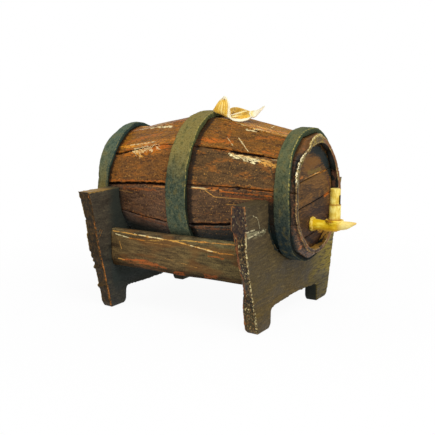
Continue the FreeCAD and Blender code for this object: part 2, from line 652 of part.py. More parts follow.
def tap_body():
    """A whittled wooden tap: a straight tail, a belly under the key, an upturned beak."""
    body = new_body("tap_body", TAP_PLACE)
    tail = new_sketch(body, "tail", "XZ_Plane", ("0", "0", "-sizes.tap_tail_length"))
    draw_circle(tail, "0", "0", "sizes.tap_neck_radius")
    add_feature(body, "Pad", tail, length="sizes.tap_tail_length + sizes.tap_neck_reach")
    stations = [("sizes.tap_neck_reach", "0", "sizes.tap_neck_radius"),
                ("sizes.tap_waist_reach", "0", "sizes.tap_waist_radius"),
                ("sizes.key_reach", "0", "sizes.tap_belly_radius"),
                ("sizes.tap_beak_reach", "sizes.tap_beak_rise", "sizes.tap_beak_radius"),
                ("sizes.tap_tip_reach", "sizes.tap_tip_rise", "sizes.tap_tip_radius")]
    rings = []
    for number, (reach, rise, radius) in enumerate(stations):
        ring = new_sketch(body, f"ring_{number}", "XZ_Plane", ("0", "0", reach))
        rings.append(draw_circle(ring, "0", rise, radius))
    add_loft(body, "AdditiveLoft", rings)
    add_key_cup(body)
    bore_tap(body)
    return body


def add_key_cup(body):
    """The flared cup with a raised lip, in which the key stands."""
    cup = new_sketch(body, "cup", "YZ_Plane", ("-sizes.key_reach", "0", "0"))
    lip = "sizes.cup_floor + sizes.cup_lip"
    draw_outline(cup, [
        ("0", "0"), ("sizes.tap_belly_radius", "0", (
            "0.82 * sizes.cup_radius", "0.5 * sizes.cup_floor")),
        ("sizes.cup_radius", "sizes.cup_floor"), ("sizes.cup_radius", lip),
        ("0.88 * sizes.cup_radius", lip), ("0.8 * sizes.cup_radius", "sizes.cup_floor"),
        ("0", "sizes.cup_floor")])
    add_feature(body, "Revolution", cup, angle="360", axis=(cup, ["V_Axis"]))
    seat = new_sketch(body, "key_seat", "XY_Plane", ("0", "0", "sizes.cup_floor"))
    draw_circle(seat, "0", "-sizes.key_reach", "0.8 * sizes.cup_radius")
    add_feature(body, "Pocket", seat, length="sizes.tap_belly_radius", backwards=True)


def bore_tap(body):
    """The key's hole, the long bore from the tail, and the outlet under the beak."""
    key_hole = new_sketch(body, "key_hole", "XY_Plane")
    draw_circle(key_hole, "0", "-sizes.key_reach", "sizes.key_shank_radius + sizes.key_clearance")
    add_feature(body, "Pocket", key_hole, length="8 * sizes.tap_belly_radius", both_ways=True)
    bore = new_sketch(body, "bore", "XZ_Plane", ("0", "0", "-sizes.tap_tail_length"))
    draw_circle(bore, "0", "0", "sizes.tap_bore_radius")
    add_feature(body, "Pocket", bore, backwards=True,
                length="sizes.tap_tail_length + sizes.tap_outlet_reach")
    outlet = new_sketch(body, "outlet", "XY_Plane")
    draw_circle(outlet, "0", "-sizes.tap_outlet_reach", "sizes.tap_bore_radius")
    add_feature(body, "Pocket", outlet, length="2 * sizes.tap_belly_radius")


def tap_seal():
    """The collar of caulking that is squeezed out where the tap meets the head."""
    body = new_body("tap_seal", TAP_PLACE)
    section = new_sketch(body, "section", "YZ_Plane")
    inner = "sizes.tap_neck_radius + sizes.joint_clearance"
    draw_outline(section, [
        ("0", inner), ("0", "sizes.seal_radius", (
            "-0.5 * sizes.seal_reach", "0.97 * sizes.seal_radius")),
        ("-sizes.seal_reach", f"{inner} + 0.15"), ("-sizes.seal_reach", inner)])
    add_feature(body, "Revolution", section, angle="360",
                axis=(origin_feature(body, "Y_Axis"), [""]))
    return body


def tap_key():
    """The turning key: a shank bored across for the liquor, and a stepped grip."""
    body = new_body("tap_key", ("0", "fits.stand_y - fits.head_face - sizes.key_reach",
                                "fits.tap_height + sizes.cup_floor"))
    section = new_sketch(body, "section", "YZ_Plane")
    foot = "-sizes.cup_floor - 0.92 * sizes.tap_belly_radius"
    draw_outline(section, [
        ("0", foot), ("sizes.key_shank_radius", foot), ("sizes.key_shank_radius", "0"),
        ("sizes.key_radius", "0"), ("sizes.key_radius", "sizes.key_shoulder"),
        ("sizes.key_grip_radius", "sizes.key_shoulder"),
        ("sizes.key_grip_radius", "sizes.key_height"), ("0", "sizes.key_height")])
    add_feature(body, "Revolution", section, angle="360",
                axis=(origin_feature(body, "Z_Axis"), [""]))
    height_now = value("sizes.key_height")
    dress_edges(body, "Fillet", "Radius", "sizes.key_edge", lambda edge: (
        edge.BoundBox.ZLength < 1e-6 and abs(edge.BoundBox.ZMax - height_now) < 1e-6))
    cross_bore = new_sketch(body, "cross_bore", "YZ_Plane")
    draw_circle(cross_bore, "0", "-sizes.cup_floor", "sizes.tap_bore_radius")
    add_feature(body, "Pocket", cross_bore, length="4 * sizes.key_radius", both_ways=True)
    slot = new_sketch(body, "slot", "XZ_Plane")
    half = "sizes.key_slot_width / 2"
    low = f"sizes.key_slot_middle - sizes.key_slot_height / 2 + {half}"
    high = f"sizes.key_slot_middle + sizes.key_slot_height / 2 - {half}"
    draw_outline(slot, [(half, low), (half, high, ("0", f"{high} + {half}")),
                        (f"-{half}", high), (f"-{half}", low, ("0", f"{low} - {half}"))])
    add_feature(body, "Pocket", slot, length="4 * sizes.key_radius", both_ways=True)
    return body


# ---- bung -----------------------------------------------------------------

def bung_plug():
    """A tapered plug, driven into the hole in the top stave."""
    body = new_body("bung_plug", CASK_PLACE, "-sizes.cask_roll")
    section = new_sketch(body, "section", "YZ_Plane", ("-sizes.bung_forward", "0", "0"))
    draw_outline(section, [
        ("0", "sizes.bung_bottom"), ("sizes.bung_bottom_radius", "sizes.bung_bottom"),
        ("sizes.bung_top_radius", "sizes.bung_top"), ("0", "sizes.bung_top")])
    add_feature(body, "Revolution", section, angle="360", axis=(section, ["V_Axis"]))
    return body


def bung_cloth():
    """The strip of cloth on the bung: a curled gutter between a tall and a pointed flap."""
    body = new_body("bung_cloth", CASK_PLACE, "-sizes.cask_roll")
    strip = new_sketch(body, "strip", "YZ_Plane",
                       ("-sizes.bung_forward", "sizes.bung_top", "0"))
    outside, wall = "sizes.cloth_gutter_radius", "sizes.cloth_thickness"
    inside = f"({outside} - {wall})"
    draw_outline(strip, [
        (outside, outside), (f"{outside} + {wall}", "0.6 * sizes.cloth_flap_height"),
        (f"{outside} + sizes.cloth_flap_lean", "sizes.cloth_flap_height"),
        (f"{outside} + sizes.cloth_flap_lean - 3 * {wall}", "sizes.cloth_flap_height"),
        (outside, "sizes.cloth_wall_height"), (inside, "sizes.cloth_wall_height"),
        (inside, outside, ("0", wall)), (f"-{inside}", outside),
        ("-sizes.cloth_spike_reach", "sizes.cloth_spike_height"),
        (f"-0.95 * {outside}", f"0.7 * {outside}", (
            f"-0.6 * {outside}", f"0.2 * {outside}")),
        ("0", "0", (f"0.7071 * {outside}", f"(1 - 0.7071) * {outside}"))])
    add_feature(body, "Pad", strip, length="sizes.cloth_width", both_ways=True)
    return body


def build_everything():
    end_board("front_board", "(-fits.front_inner)", "front", False)
    end_board("rear_board", "fits.rear_face", "rear", True)
    rail("left_rail", "-")
    rail("right_rail", "")
    staves = [stave(number) for number in range(round(value("sizes.stave_count")))]
    cut_bung_hole(staves[0])
    for head in ("front", "rear"):
        boards = {name: head_board(head, name, above, below)
                  for name, above, below in HEAD_STRIPS}
        if head == "front":
            cut_tap_hole(boards["lower_board"])
        head_dowels(head)
    for name, width, middle, inner in HOOPS:
        hoop(name, width, middle, inner)
    hoop_rivets()
    tap_body()
    tap_seal()
    tap_key()
    bung_plug()
    bung_cloth()


def check_and_write():
    """Refuses a failed feature or a broken solid, then writes one file for each piece."""
    doc.recompute()
    for item in doc.Objects:
        if "Invalid" in item.State or "Error" in item.State:
            raise RuntimeError(f"{item.Name} failed: {item.State}")
    for piece in finished_pieces:
        if piece.Shape.isNull() or not piece.Shape.isValid() or not piece.Shape.Solids:
            raise RuntimeError(f"{piece.Label} is not a valid solid")
    os.makedirs("parts", exist_ok=True)
    for piece in finished_pieces:
        piece.Shape.exportStep(f"parts/{piece.Label}.step")
        box = piece.Shape.BoundBox
        print(f"{piece.Label}: {len(piece.Shape.Solids)} solid(s), {piece.Shape.Volume:.0f} mm3, "
              f"x {box.XMin:.1f} to {box.XMax:.1f}, y {box.YMin:.1f} to {box.YMax:.1f}, "
              f"z {box.ZMin:.1f} to {box.ZMax:.1f}")


fill_sheets()
build_everything()
check_and_write()
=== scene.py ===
# %% [markdown]
# # A small oak cask on its stand
# The cask lies in a two-board stand and is tapped at the front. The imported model
# gives every piece its place; this file gives each piece its worn, hand-made look.
# Blender counts in metres, but a maker thinks of such a piece in millimetres, so the
# shaping below is done in millimetres. +Z is up and the tap points towards -Y.

# %% Load the frame
import itertools
import math
import bpy
import numpy as np
from mathutils import Matrix, Vector


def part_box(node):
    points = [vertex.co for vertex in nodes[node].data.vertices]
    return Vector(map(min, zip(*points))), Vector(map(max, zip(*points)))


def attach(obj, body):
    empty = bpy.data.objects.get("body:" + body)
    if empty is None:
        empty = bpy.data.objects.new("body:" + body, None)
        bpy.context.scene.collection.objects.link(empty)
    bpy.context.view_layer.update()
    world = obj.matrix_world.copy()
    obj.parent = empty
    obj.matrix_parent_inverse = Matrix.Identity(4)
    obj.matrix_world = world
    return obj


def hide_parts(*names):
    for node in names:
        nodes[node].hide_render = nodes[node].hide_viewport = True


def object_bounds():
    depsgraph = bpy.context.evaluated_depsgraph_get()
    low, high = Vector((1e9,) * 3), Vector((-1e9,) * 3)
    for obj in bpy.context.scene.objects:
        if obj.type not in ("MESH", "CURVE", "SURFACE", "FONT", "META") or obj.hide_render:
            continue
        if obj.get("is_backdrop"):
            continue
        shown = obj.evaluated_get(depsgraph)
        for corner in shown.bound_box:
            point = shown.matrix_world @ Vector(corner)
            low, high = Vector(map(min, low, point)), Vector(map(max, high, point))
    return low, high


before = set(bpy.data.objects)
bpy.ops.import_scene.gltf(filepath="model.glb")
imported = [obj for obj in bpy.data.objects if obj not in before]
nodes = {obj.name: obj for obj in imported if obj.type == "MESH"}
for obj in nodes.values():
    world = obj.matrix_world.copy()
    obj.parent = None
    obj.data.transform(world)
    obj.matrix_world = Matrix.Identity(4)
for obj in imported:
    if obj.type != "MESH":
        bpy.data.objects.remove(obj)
size_log = {"cad_box": [list(corner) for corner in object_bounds()]}
MM = 0.001
STAND_MIDDLE_Y = (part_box("front_board")[0].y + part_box("rear_board")[1].y) / 2
CASK_AXIS_HEIGHT = 99.2

# %% [markdown]
# ## Camera
# The camera stands to the left of the tap and a little above the cask. Its place is
# given as an angle round the object, an angle above the table and a distance from a
# point near the middle of the stand, as one would tell it to a camera crew.

# %% Camera
CAMERA_AZIMUTH = math.radians(-59.69)
CAMERA_ELEVATION = math.radians(9.71)
CAMERA_ROLL = math.radians(0.41)
CAMERA_DISTANCE = 0.75512
CAMERA_TARGET = Vector((0.08005, STAND_MIDDLE_Y + 0.04637, 0.05762))
FOCAL_LENGTH_MM = 63.9


def add_object(name, data):
    made = bpy.data.objects.new(name, data)
    bpy.context.scene.collection.objects.link(made)
    return made


def place_camera():
    """Sets the camera on its angle and distance, and tilts it by the small roll."""
    data = bpy.data.cameras.new("camera")
    data.lens = FOCAL_LENGTH_MM
    data.sensor_width = 36.0
    camera = add_object("camera", data)
    level = math.cos(CAMERA_ELEVATION)
    back = Vector((math.sin(CAMERA_AZIMUTH) * level, -math.cos(CAMERA_AZIMUTH) * level,
                   math.sin(CAMERA_ELEVATION)))
    upright = (-back).to_track_quat("-Z", "Y").to_matrix()
    tilt = Matrix.Rotation(CAMERA_ROLL, 3, "Z")
    camera.matrix_world = (Matrix.Translation(CAMERA_TARGET + back * CAMERA_DISTANCE)
                           @ (upright @ tilt).to_4x4())
    bpy.context.scene.camera = camera


place_camera()

# %% [markdown]
# ## Shader sums as plain Python
# A worn finish is mostly arithmetic: grain times a stain, plus a scratch. Wiring each
# sum by hand hides the idea, so a wire is wrapped in a small class, and + - and * on
# it add the Math nodes. `soft` and `ramp` turn a number into a mask or a colour, and
# `lay` and `glaze` put one colour over another, as a painter does. `Finish` builds one
# material; its `node` method adds any other node with its settings and its sockets.

# %% Wires and finishes
def light_of(colour):
    """A colour as a paint program shows it, 0 to 255, turned into Blender's light."""
    def linear(part):
        part /= 255
        return part / 12.92 if part <= 0.04045 else ((part + 0.055) / 1.055) ** 2.4
    return colour if isinstance(colour, Wire) else (*map(linear, colour), 1.0)


class Wire:
    """One output of a node. Sums with numbers or other wires become Math nodes."""

    def __init__(self, coat, socket):
        self.coat, self.socket = coat, socket

    def sum_with(self, operation, other, swapped=False):
        first, second = (other, self) if swapped else (self, other)
        return self.coat.node("ShaderNodeMath", {"operation": operation}, {0: first, 1: second})

    def __add__(self, other): return self.sum_with("ADD", other)
    def __sub__(self, other): return self.sum_with("SUBTRACT", other)
    def __rsub__(self, other): return self.sum_with("SUBTRACT", other, swapped=True)
    def __mul__(self, other): return self.sum_with("MULTIPLY", other)
    def __abs__(self): return self.sum_with("ABSOLUTE", 0)

    def soft(self, at_zero, at_one):
        """0 to 1 as the number goes from one value to the other, with soft ends."""
        return self.coat.node("ShaderNodeMapRange", {"interpolation_type": "SMOOTHSTEP"}, {
            "Value": self, "From Min": at_zero, "From Max": at_one})

    def ramp(self, *stops):
        """Turns the number into a colour, by (number, colour) stops."""
        made = self.coat.node_of("ShaderNodeValToRGB", {}, {0: self})
        elements = made.color_ramp.elements
        while len(elements) < len(stops):
            elements.new(0.5)
        for element, (where, colour) in zip(elements, stops):
            element.position, element.color = where, light_of(colour)
        return Wire(self.coat, made.outputs[0])

    def lay(self, colour, cover):
        """Lays a colour over this one where `cover` is 1."""
        return self.coat.blend(self, colour, cover)

    def glaze(self, colour, cover):
        """Darkens or tints this colour by multiplying, as a glaze does."""
        return self.coat.blend(self, colour, cover, "MULTIPLY")


class Finish:
    """A material under construction, with millimetre coordinates ready to use."""

    def __init__(self, name, roughness=0.6, fray=0.9):
        self.fray = fray
        self.material = bpy.data.materials.new(name)
        self.material.use_nodes = True
        self.tree = self.material.node_tree
        self.shader = self.tree.nodes["Principled BSDF"]
        self.shader.inputs["Roughness"].default_value = roughness
        self.shader.inputs["Specular IOR Level"].default_value = 0.12
        self.place = self.node("ShaderNodeTexCoord", output="Object")
        parts = self.node_of("ShaderNodeSeparateXYZ", {}, {0: self.place})
        self.x, y, self.z = (Wire(self, parts.outputs[i]) * 1000 for i in range(3))
        self.y = y - STAND_MIDDLE_Y * 1000

    def node_of(self, kind, settings, sockets):
        """Adds a node, sets it up, then fills or links its sockets."""
        made = self.tree.nodes.new(kind)
        for key, setting in settings.items():
            setattr(made, key, setting)
        for key, feed in sockets.items():
            if isinstance(feed, Wire):
                self.tree.links.new(feed.socket, made.inputs[key])
            else:
                made.inputs[key].default_value = feed
        return made

    def node(self, kind, settings=None, sockets=None, output=0):
        return Wire(self, self.node_of(kind, settings or {}, sockets or {}).outputs[output])

    def vector(self, operation, first, second, **more):
        sockets = {"Scale" if operation == "SCALE" else 1: second}
        return self.node("ShaderNodeVectorMath", {"operation": operation}, {0: first, **sockets}, **more)

    def stored(self, name):
        """A number that was stored on the mesh while it was being shaped."""
        return self.node("ShaderNodeAttribute", {"attribute_name": name}, output="Fac")

    def noise(self, size, detail=2, seed=0, distortion=0):
        """Soft blotches about `size` millimetres across, or one size for each axis."""
        sizes = size if isinstance(size, tuple) else (size,) * 3
        spread = self.node("ShaderNodeMapping", {"vector_type": "POINT"}, {
            "Vector": self.place, "Scale": tuple(1000 / part for part in sizes),
            "Location": (seed, seed * 1.7, seed * 0.6)})
        return self.node("ShaderNodeTexNoise", {}, {
            "Vector": spread, "Scale": 1, "Detail": detail, "Distortion": distortion})

    def blend(self, under, colour, cover, how="MIX"):
        return self.node("ShaderNodeMix", {"data_type": "RGBA", "blend_type": how}, {
            0: cover, 6: light_of(under), 7: light_of(colour)}, output=2)

    def streak(self, across, up, start, end, width, ragged=0.6, seed=0):
        """1 on a stroke between two points of a flat drawing, ragged at its edge."""
        point = self.node("ShaderNodeCombineXYZ", {}, {0: across, 1: up})
        from_start = self.vector("SUBTRACT", point, (*start, 0))
        run = (end[0] - start[0], end[1] - start[1], 0)
        length = max(1e-6, run[0] ** 2 + run[1] ** 2)
        along = self.vector("DOT_PRODUCT", from_start, tuple(part / length for part in run),
                            output="Value")
        nearest = self.vector("SCALE", run, self.node("ShaderNodeClamp", {}, {0: along}))
        gap = self.vector("DISTANCE", from_start, nearest, output="Value")
        wander = (self.noise(self.fray, 3, seed) - 0.5) * (ragged * (width + 0.4) * 4)
        return (gap + wander).soft(width, width * 0.4)

    def strokes(self, colour, across, up, rows, seed_step, ragged_of, broken_by=None):
        """Lays (start, start, end, end, half width, colour, strength) rows, one by one."""
        for number, (x1, y1, x2, y2, width, tint, strength) in enumerate(rows):
            stroke = self.streak(across, up, (x1, y1), (x2, y2), width, ragged_of(width, tint),
                                 number * seed_step)
            if broken_by:
                stroke = broken_by(stroke, width)
            colour = colour.lay(tint, stroke * strength)
        return colour

    def finish(self, colour, bump=None, depth=0.3, roughness=None):
        """Connects the colour and, where given, the bump (`depth` in millimetres)."""
        self.tree.links.new(colour.socket, self.shader.inputs["Base Color"])
        if bump:
            relief = self.node("ShaderNodeBump", {}, {
                "Height": bump, "Strength": 1, "Distance": depth * MM})
            self.tree.links.new(relief.socket, self.shader.inputs["Normal"])
        if roughness:
            self.tree.links.new(roughness.socket, self.shader.inputs["Roughness"])
        return self.material


def dress(piece, material):
    """Gives a piece one finish all over."""
    piece.data.materials.clear()
    piece.data.materials.append(material)
    for face in piece.data.polygons:
        face.material_index = 0


# %% [markdown]
# ## Light and floor
# Soft light from all round keeps the colours as they are written, and one broad lamp,
# high on the left, gives the forms their light and dark sides. The floor is a large
# plane that looks white to the camera but still takes a faint shadow.

# %% Light and floor
SKY_STRENGTH = 0.58
LAMP_PLACE = Vector((-0.75, -0.75, 1.15))
LAMP_WATTS = 17.0
LAMP_SIZE = 0.9


def light_the_studio():
    world = bpy.data.worlds.new("studio")
    bpy.context.scene.world = world
    world.use_nodes = True
    tree = world.node_tree
    sky, backdrop = tree.nodes["Background"], tree.nodes.new("ShaderNodeBackground")
    for light, strength in ((sky, SKY_STRENGTH), (backdrop, 1)):
        light.inputs["Color"].default_value = (1, 1, 1, 1)
        light.inputs["Strength"].default_value = strength
    path = tree.nodes.new("ShaderNodeLightPath")
    choose = tree.nodes.new("ShaderNodeMixShader")
    seen = tree.nodes.new("ShaderNodeMath")
    seen.operation = "MAXIMUM"
    for source, target in (
            (path.outputs["Is Camera Ray"], seen.inputs[0]),
            (path.outputs["Is Glossy Ray"], seen.inputs[1]), (seen.outputs[0], choose.inputs[0]),
            (sky.outputs[0], choose.inputs[1]), (backdrop.outputs[0], choose.inputs[2]),
            (choose.outputs[0], tree.nodes["World Output"].inputs[0])):
        tree.links.new(source, target)
    lamp = bpy.data.lights.new("broad_lamp", "AREA")
    lamp.energy, lamp.size = LAMP_WATTS, LAMP_SIZE
    holder = add_object("broad_lamp", lamp)
    towards = Vector((0, STAND_MIDDLE_Y, 0.08)) - LAMP_PLACE
    holder.matrix_world = (Matrix.Translation(LAMP_PLACE)
                           @ towards.to_track_quat("-Z", "Y").to_matrix().to_4x4())


def lay_the_floor():
    bpy.ops.object.select_all(action="DESELECT")
    bpy.ops.mesh.primitive_plane_add(size=6, location=(0, 0, 0))
    floor = bpy.context.object
    floor.name = "studio_floor"
    coat = Finish("white_floor", roughness=0.9)
    glow = coat.node("ShaderNodeEmission", {}, {"Color": (1, 1, 1, 1), "Strength": 1.0},
                     output="Emission")
    path = coat.node_of("ShaderNodeLightPath", {}, {})
    seen = Wire(coat, path.outputs["Is Camera Ray"])
    mirrored = Wire(coat, path.outputs["Is Glossy Ray"])
    distance = coat.node("ShaderNodeVectorMath", {"operation": "LENGTH"}, {0: coat.place},
                         output="Value")
    far = distance.soft(0.16, 0.42)
    paper = Wire(coat, coat.shader.outputs["BSDF"])
    coat.shader.inputs["Base Color"].default_value = (0.86, 0.86, 0.86, 1)
    glowing = seen * (far * 0.06 + 0.94) + mirrored
    mixed = coat.node("ShaderNodeMixShader", {}, {0: glowing, 1: paper, 2: glow})
    coat.tree.links.new(mixed.socket, coat.tree.nodes["Material Output"].inputs[0])
    dress(floor, coat.material)
    floor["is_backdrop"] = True


light_the_studio()
lay_the_floor()
bpy.context.scene.view_settings.view_transform = "Standard"

# %% [markdown]
# ## Working wood by numbers
# Old wood is never flat. Each wooden piece starts as a copy of its solid, gets an even
# skin of small faces from a Remesh modifier, and is then worn down by moving the
# points of that skin: a little for the grain, more at arrises, most where it is torn.
# The wear comes from lattice noise, which gives the same numbers on every run.

# %% Copying, re-skinning and moving points
def select_only(*chosen):
    bpy.ops.object.select_all(action="DESELECT")
    for piece in chosen:
        piece.select_set(True)
    bpy.context.view_layer.objects.active = chosen[0]


def even_copy(node, name, face_size):
    """A merged copy of a CAD node with an even skin of faces, `face_size` millimetres."""
    piece = add_object(name, nodes[node].data.copy())
    select_only(piece)
    bpy.ops.object.mode_set(mode="EDIT")
    bpy.ops.mesh.select_all(action="SELECT")
    bpy.ops.mesh.remove_doubles(threshold=1e-6)
    bpy.ops.object.mode_set(mode="OBJECT")
    skin = piece.modifiers.new("skin", "REMESH")
    skin.mode, skin.voxel_size, skin.adaptivity = "VOXEL", face_size * MM, 0.0
    bpy.ops.object.modifier_apply(modifier=skin.name)
    return piece


def points_of(piece):
    """All points in millimetres, with y counted from the middle of the stand."""
    flat = np.empty(len(piece.data.vertices) * 3)
    piece.data.vertices.foreach_get("co", flat)
    return flat.reshape(-1, 3) / MM - np.array([0, STAND_MIDDLE_Y / MM, 0])


def put_points(piece, points, smooth_angle=50):
    places = (points + np.array([0, STAND_MIDDLE_Y / MM, 0])) * MM
    piece.data.vertices.foreach_set("co", places.ravel())
    piece.data.update()
    select_only(piece)
    bpy.ops.object.shade_smooth_by_angle(angle=math.radians(smooth_angle))


def store(piece, **layers):
    """Keeps named numbers, one for each point, on the mesh for the finish to read."""
    for name, numbers in layers.items():
        layer = piece.data.attributes.new(name, "FLOAT", "POINT")
        layer.data.foreach_set("value", np.asarray(numbers, dtype=np.float32))


def lattice_noise(points, size, seed=0):
    """Smooth numbers from -1 to 1 that change over `size` millimetres."""
    scaled = points / np.asarray(size, dtype=float) + seed * 17.31
    cell = np.floor(scaled).astype(np.int64)
    part = scaled - cell
    part = part * part * (3 - 2 * part)
    total = np.zeros(len(points))
    for corner in itertools.product((0, 1), repeat=3):
        key = (cell + corner) @ np.array([73856093, 19349663, 83492791])
        key = (key ^ (key >> 13)) * 1274126177 & 0x7FFFFFFF
        key = (key ^ (key >> 16)) * 668265263 & 0x7FFFFFFF
        share = np.prod(np.where(corner, part, 1 - part), axis=1)
        total += share * (key / 2.0**30 - 1)
    return total


def ease(numbers, at_zero, at_one):
    """0 to 1 between two values, with soft ends."""
    part = np.clip((numbers - at_zero) / (at_one - at_zero), 0, 1)
    return part * part * (3 - 2 * part)


def finish_piece(piece, body, slot, material, *replaced):
    """Every piece rides on a body and stands for its nodes; the slot is not used."""
    dress(piece, material)
    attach(piece, body)
    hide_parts(*replaced)
    print(piece.name, len(piece.data.polygons), "faces")

# %% [markdown]
# ## The cask's own coordinates
# On a barrel it is easiest to say where something is by how far along it lies, and by
# its angle round the axis. Angles are counted in degrees from -X, the side that faces
# the camera, up towards +Z. The twelve seams are planned 30 degrees apart, but hand
# jointing makes them wander, so each seam has a short list of where it really runs.

# %% Seams and the profile of a stave
STAVE_ANGLE = 30.0
FIRST_SEAM = 8.5
STAVE_WALL = 6.5
BELLY_FLAT, END_FLAT = 60.3, 48.5
BELLY_HALF, TAPER_HALF = 30, 73.6
FRONT_CHIME = -95
CHIME_TAPER_LENGTH, CHIME_TAPER_DEPTH = 5, 3.6
BUNG_FORWARD, BUNG_ANGLE = 20, 83.5

# seam angle: (distance along the cask, degrees off plan)
SEAM_WANDER = {
    8.5: ((-90, 0.6), (-45, 1.2), (-11, 0.6), (13, -0.6), (44, -1.6), (77, -4.7)),
    38.5: ((-90, 0.8), (-62, 1.6), (-49, 0.9), (-32, 1.2), (-10, 0.4), (22, 1.5),
           (46, 0.3), (60, -1.6), (75, -3.8)),
    68.5: ((-90, -1.8), (-54, -0.7), (-42, 0.9), (-5, 6.5), (20, 2), (60, -2)),
    338.5: ((-60, 0.8), (-9, 0.6), (15, 0), (53, 0.6), (80, 1)),
    98.5: ((-60, -1), (0, 1.5), (60, -1.5)),
}
# seam angle: (along from, along to, half width, depth) of its open stretches, in mm
OPEN_SEAMS = {
    8.5: ((12, 79, 1.15, 3.2), (-76, -10, 0.55, 1.3), (-51.5, -47, 1.6, 2.2)),
    38.5: ((56, 78, 1, 2.6), (44, 56, 0.7, 1.8), (-12, -7, 1, 2.4),
           (-34, -16, 0.85, 2), (-64, -37, 1.2, 3), (-78, -65, 0.8, 1.8),
           (12, 44, 0.4, 0.8)),
    68.5: ((-12, 0, 0.7, 1.4), (-44, -12, 0.5, 1), (-57, -42, 1, 2.2)),
    338.5: ((13, 56, 0.8, 2), (-46, -8, 1.3, 3.2)),
}

# name: (angle, front edge, rear edge) round the cask
HOOP_LINES = {
    "front_hoop": ((0, -91.4, -78.6), (16, -90.6, -78), (32, -88.6, -76.7),
                   (48, -86.8, -75.8), (66, -86.6, -75.2), (90, -86.8, -74.8),
                   (120, -86.2, -75), (170, -85.6, -75.4), (220, -86.2, -75.7),
                   (260, -87, -75.1), (302, -87.2, -75.1), (320, -87.8, -77.2),
                   (338, -91, -78.2), (350, -91.6, -78.4), (360, -91.4, -78.6)),
    "centre_hoop": ((0, -8.4, 10), (12, -8.6, 10.1), (20, -7, 10.9), (32, -7, 11.3),
                    (42, -6.8, 11.2), (54, -4.6, 12.8), (66, -4.4, 12.4), (84, -3, 12.6),
                    (120, -4, 13), (180, -7, 11), (240, -8.5, 10),
                    (300, -9, 9.6), (334, -9, 10.7), (350, -8, 10.5), (360, -8.4, 10)),
    "rear_hoop": ((0, 76.8, 87.6), (9, 76.6, 86.6), (18, 77.2, 88), (27, 76.4, 88.8),
                  (38, 75.4, 89), (50, 76.8, 88.8), (60, 77.5, 86.8), (68, 77, 86.2),
                  (76, 79.2, 86.6), (84, 82.2, 87.4), (96, 84, 88.4), (110, 83, 88.2),
                  (130, 79.5, 87.4),
                  (180, 77, 88), (270, 78, 88.5), (360, 76.8, 87.6)),
}


def outer_flat(along):
    """Axis to the flat of a stave, for each distance along the cask."""
    slope = (BELLY_FLAT - END_FLAT) / (TAPER_HALF - BELLY_HALF / 2)
    shoulder = BELLY_FLAT - BELLY_HALF * slope / 2
    reach = np.abs(along)
    belly = BELLY_FLAT - (BELLY_FLAT - shoulder) * (reach / BELLY_HALF) ** 2
    taper = shoulder - (reach - BELLY_HALF) * (shoulder - END_FLAT) / (TAPER_HALF - BELLY_HALF)
    profile = np.where(reach < BELLY_HALF, belly, np.maximum(taper, END_FLAT))
    chime = np.clip((FRONT_CHIME + CHIME_TAPER_LENGTH - along) / CHIME_TAPER_LENGTH, 0, 1)
    return profile - CHIME_TAPER_DEPTH * chime


def round_the_axis(points):
    """Angle in degrees, 0 to 360, and distance from the axis."""
    x, up = points[:, 0], points[:, 2] - CASK_AXIS_HEIGHT
    return np.degrees(np.arctan2(up, -x)) % 360, np.hypot(x, up)


def from_round(angle, radius, along):
    turn = np.radians(angle)
    return np.stack([-radius * np.cos(turn), along,
                     CASK_AXIS_HEIGHT + radius * np.sin(turn)], axis=1)


def wander(angle, along):
    """Degrees by which the wood at this place is off plan, shared between two seams."""
    place = (angle - FIRST_SEAM) / STAVE_ANGLE
    share = place - np.floor(place)
    shift = np.zeros(len(angle))
    for which, part in ((0, 1 - share), (1, share)):
        seam = ((np.floor(place) + which) * STAVE_ANGLE + FIRST_SEAM) % 360
        for planned, stations in SEAM_WANDER.items():
            ours = np.abs(seam - planned) < 1
            where, off = np.array(stations).T
            shift[ours] += (part * np.interp(along, where, off))[ours]
    from_bung = np.hypot(along + BUNG_FORWARD, (angle - BUNG_ANGLE) * 1.05)
    return shift * ease(from_bung, 6, 13)


def hoop_edge(name, angle, column):
    """Where a hoop's front edge (column 1) or rear edge (column 2) lies at an angle."""
    ring = np.array(HOOP_LINES[name])
    return np.interp(angle % 360, ring[:, 0], ring[:, column])


def ahead_of_hoops(angle, along):
    """How far in front of the nearest hoop's front edge the wood lies, in millimetres."""
    gap = np.full(len(along), 40)
    for name in HOOP_LINES:
        ahead = hoop_edge(name, angle, 1) - along
        gap = np.where(ahead > -2, np.minimum(gap, ahead), gap)
    return gap


# %% [markdown]
# ## The front rim
# The front rim was hewn by eye. Round the ring, its end lies a few millimetres further
# forward or back, its outer arris goes in and out, and its wall is thick below and thin
# above. Three short tables say so, angle by angle, and are read as closed rings.

# %% Hewn rim
# (angle, how far forward the rim ends, radius of its outer arris, radius of its inner one)
RIM_TABLE = (
    (0, -95.6, 47.6, 42.2), (15, -95, 48.4, 42.6), (25, -94, 49.4, 43.4),
    (35, -93.6, 49.6, 44.2), (45, -93.9, 47.8, 43.8), (54, -95, 46.6, 43.4),
    (57, -95.6, 47, 44), (62, -95.2, 49.4, 44.4), (75, -94.6, 49.9, 42.8),
    (88, -94, 49.4, 42), (100, -92.8, 47.4, 42.2), (115, -91.8, 46.2, 42.8), (130, -91.4, 46.4, 43.2),
    (145, -91.6, 46.6, 43), (160, -92.4, 46.8, 42.4), (175, -93.2, 47.4, 42),
    (200, -93.4, 47.2, 42.2), (225, -92.8, 46.4, 42.4), (250, -93.6, 45, 42),
    (275, -94.8, 45, 41.6), (300, -95.4, 45.8, 41.8), (315, -95.6, 45.6, 42),
    (330, -95.6, 46.8, 42.6), (345, -95.6, 47.8, 42.6), (360, -95.6, 47.6, 42.2),
)


def round_the_rim(angle, column):
    """One column of the table at any angle, as a closed ring."""
    table = np.array(RIM_TABLE)
    return np.interp(angle % 360, table[:, 0], table[:, column])


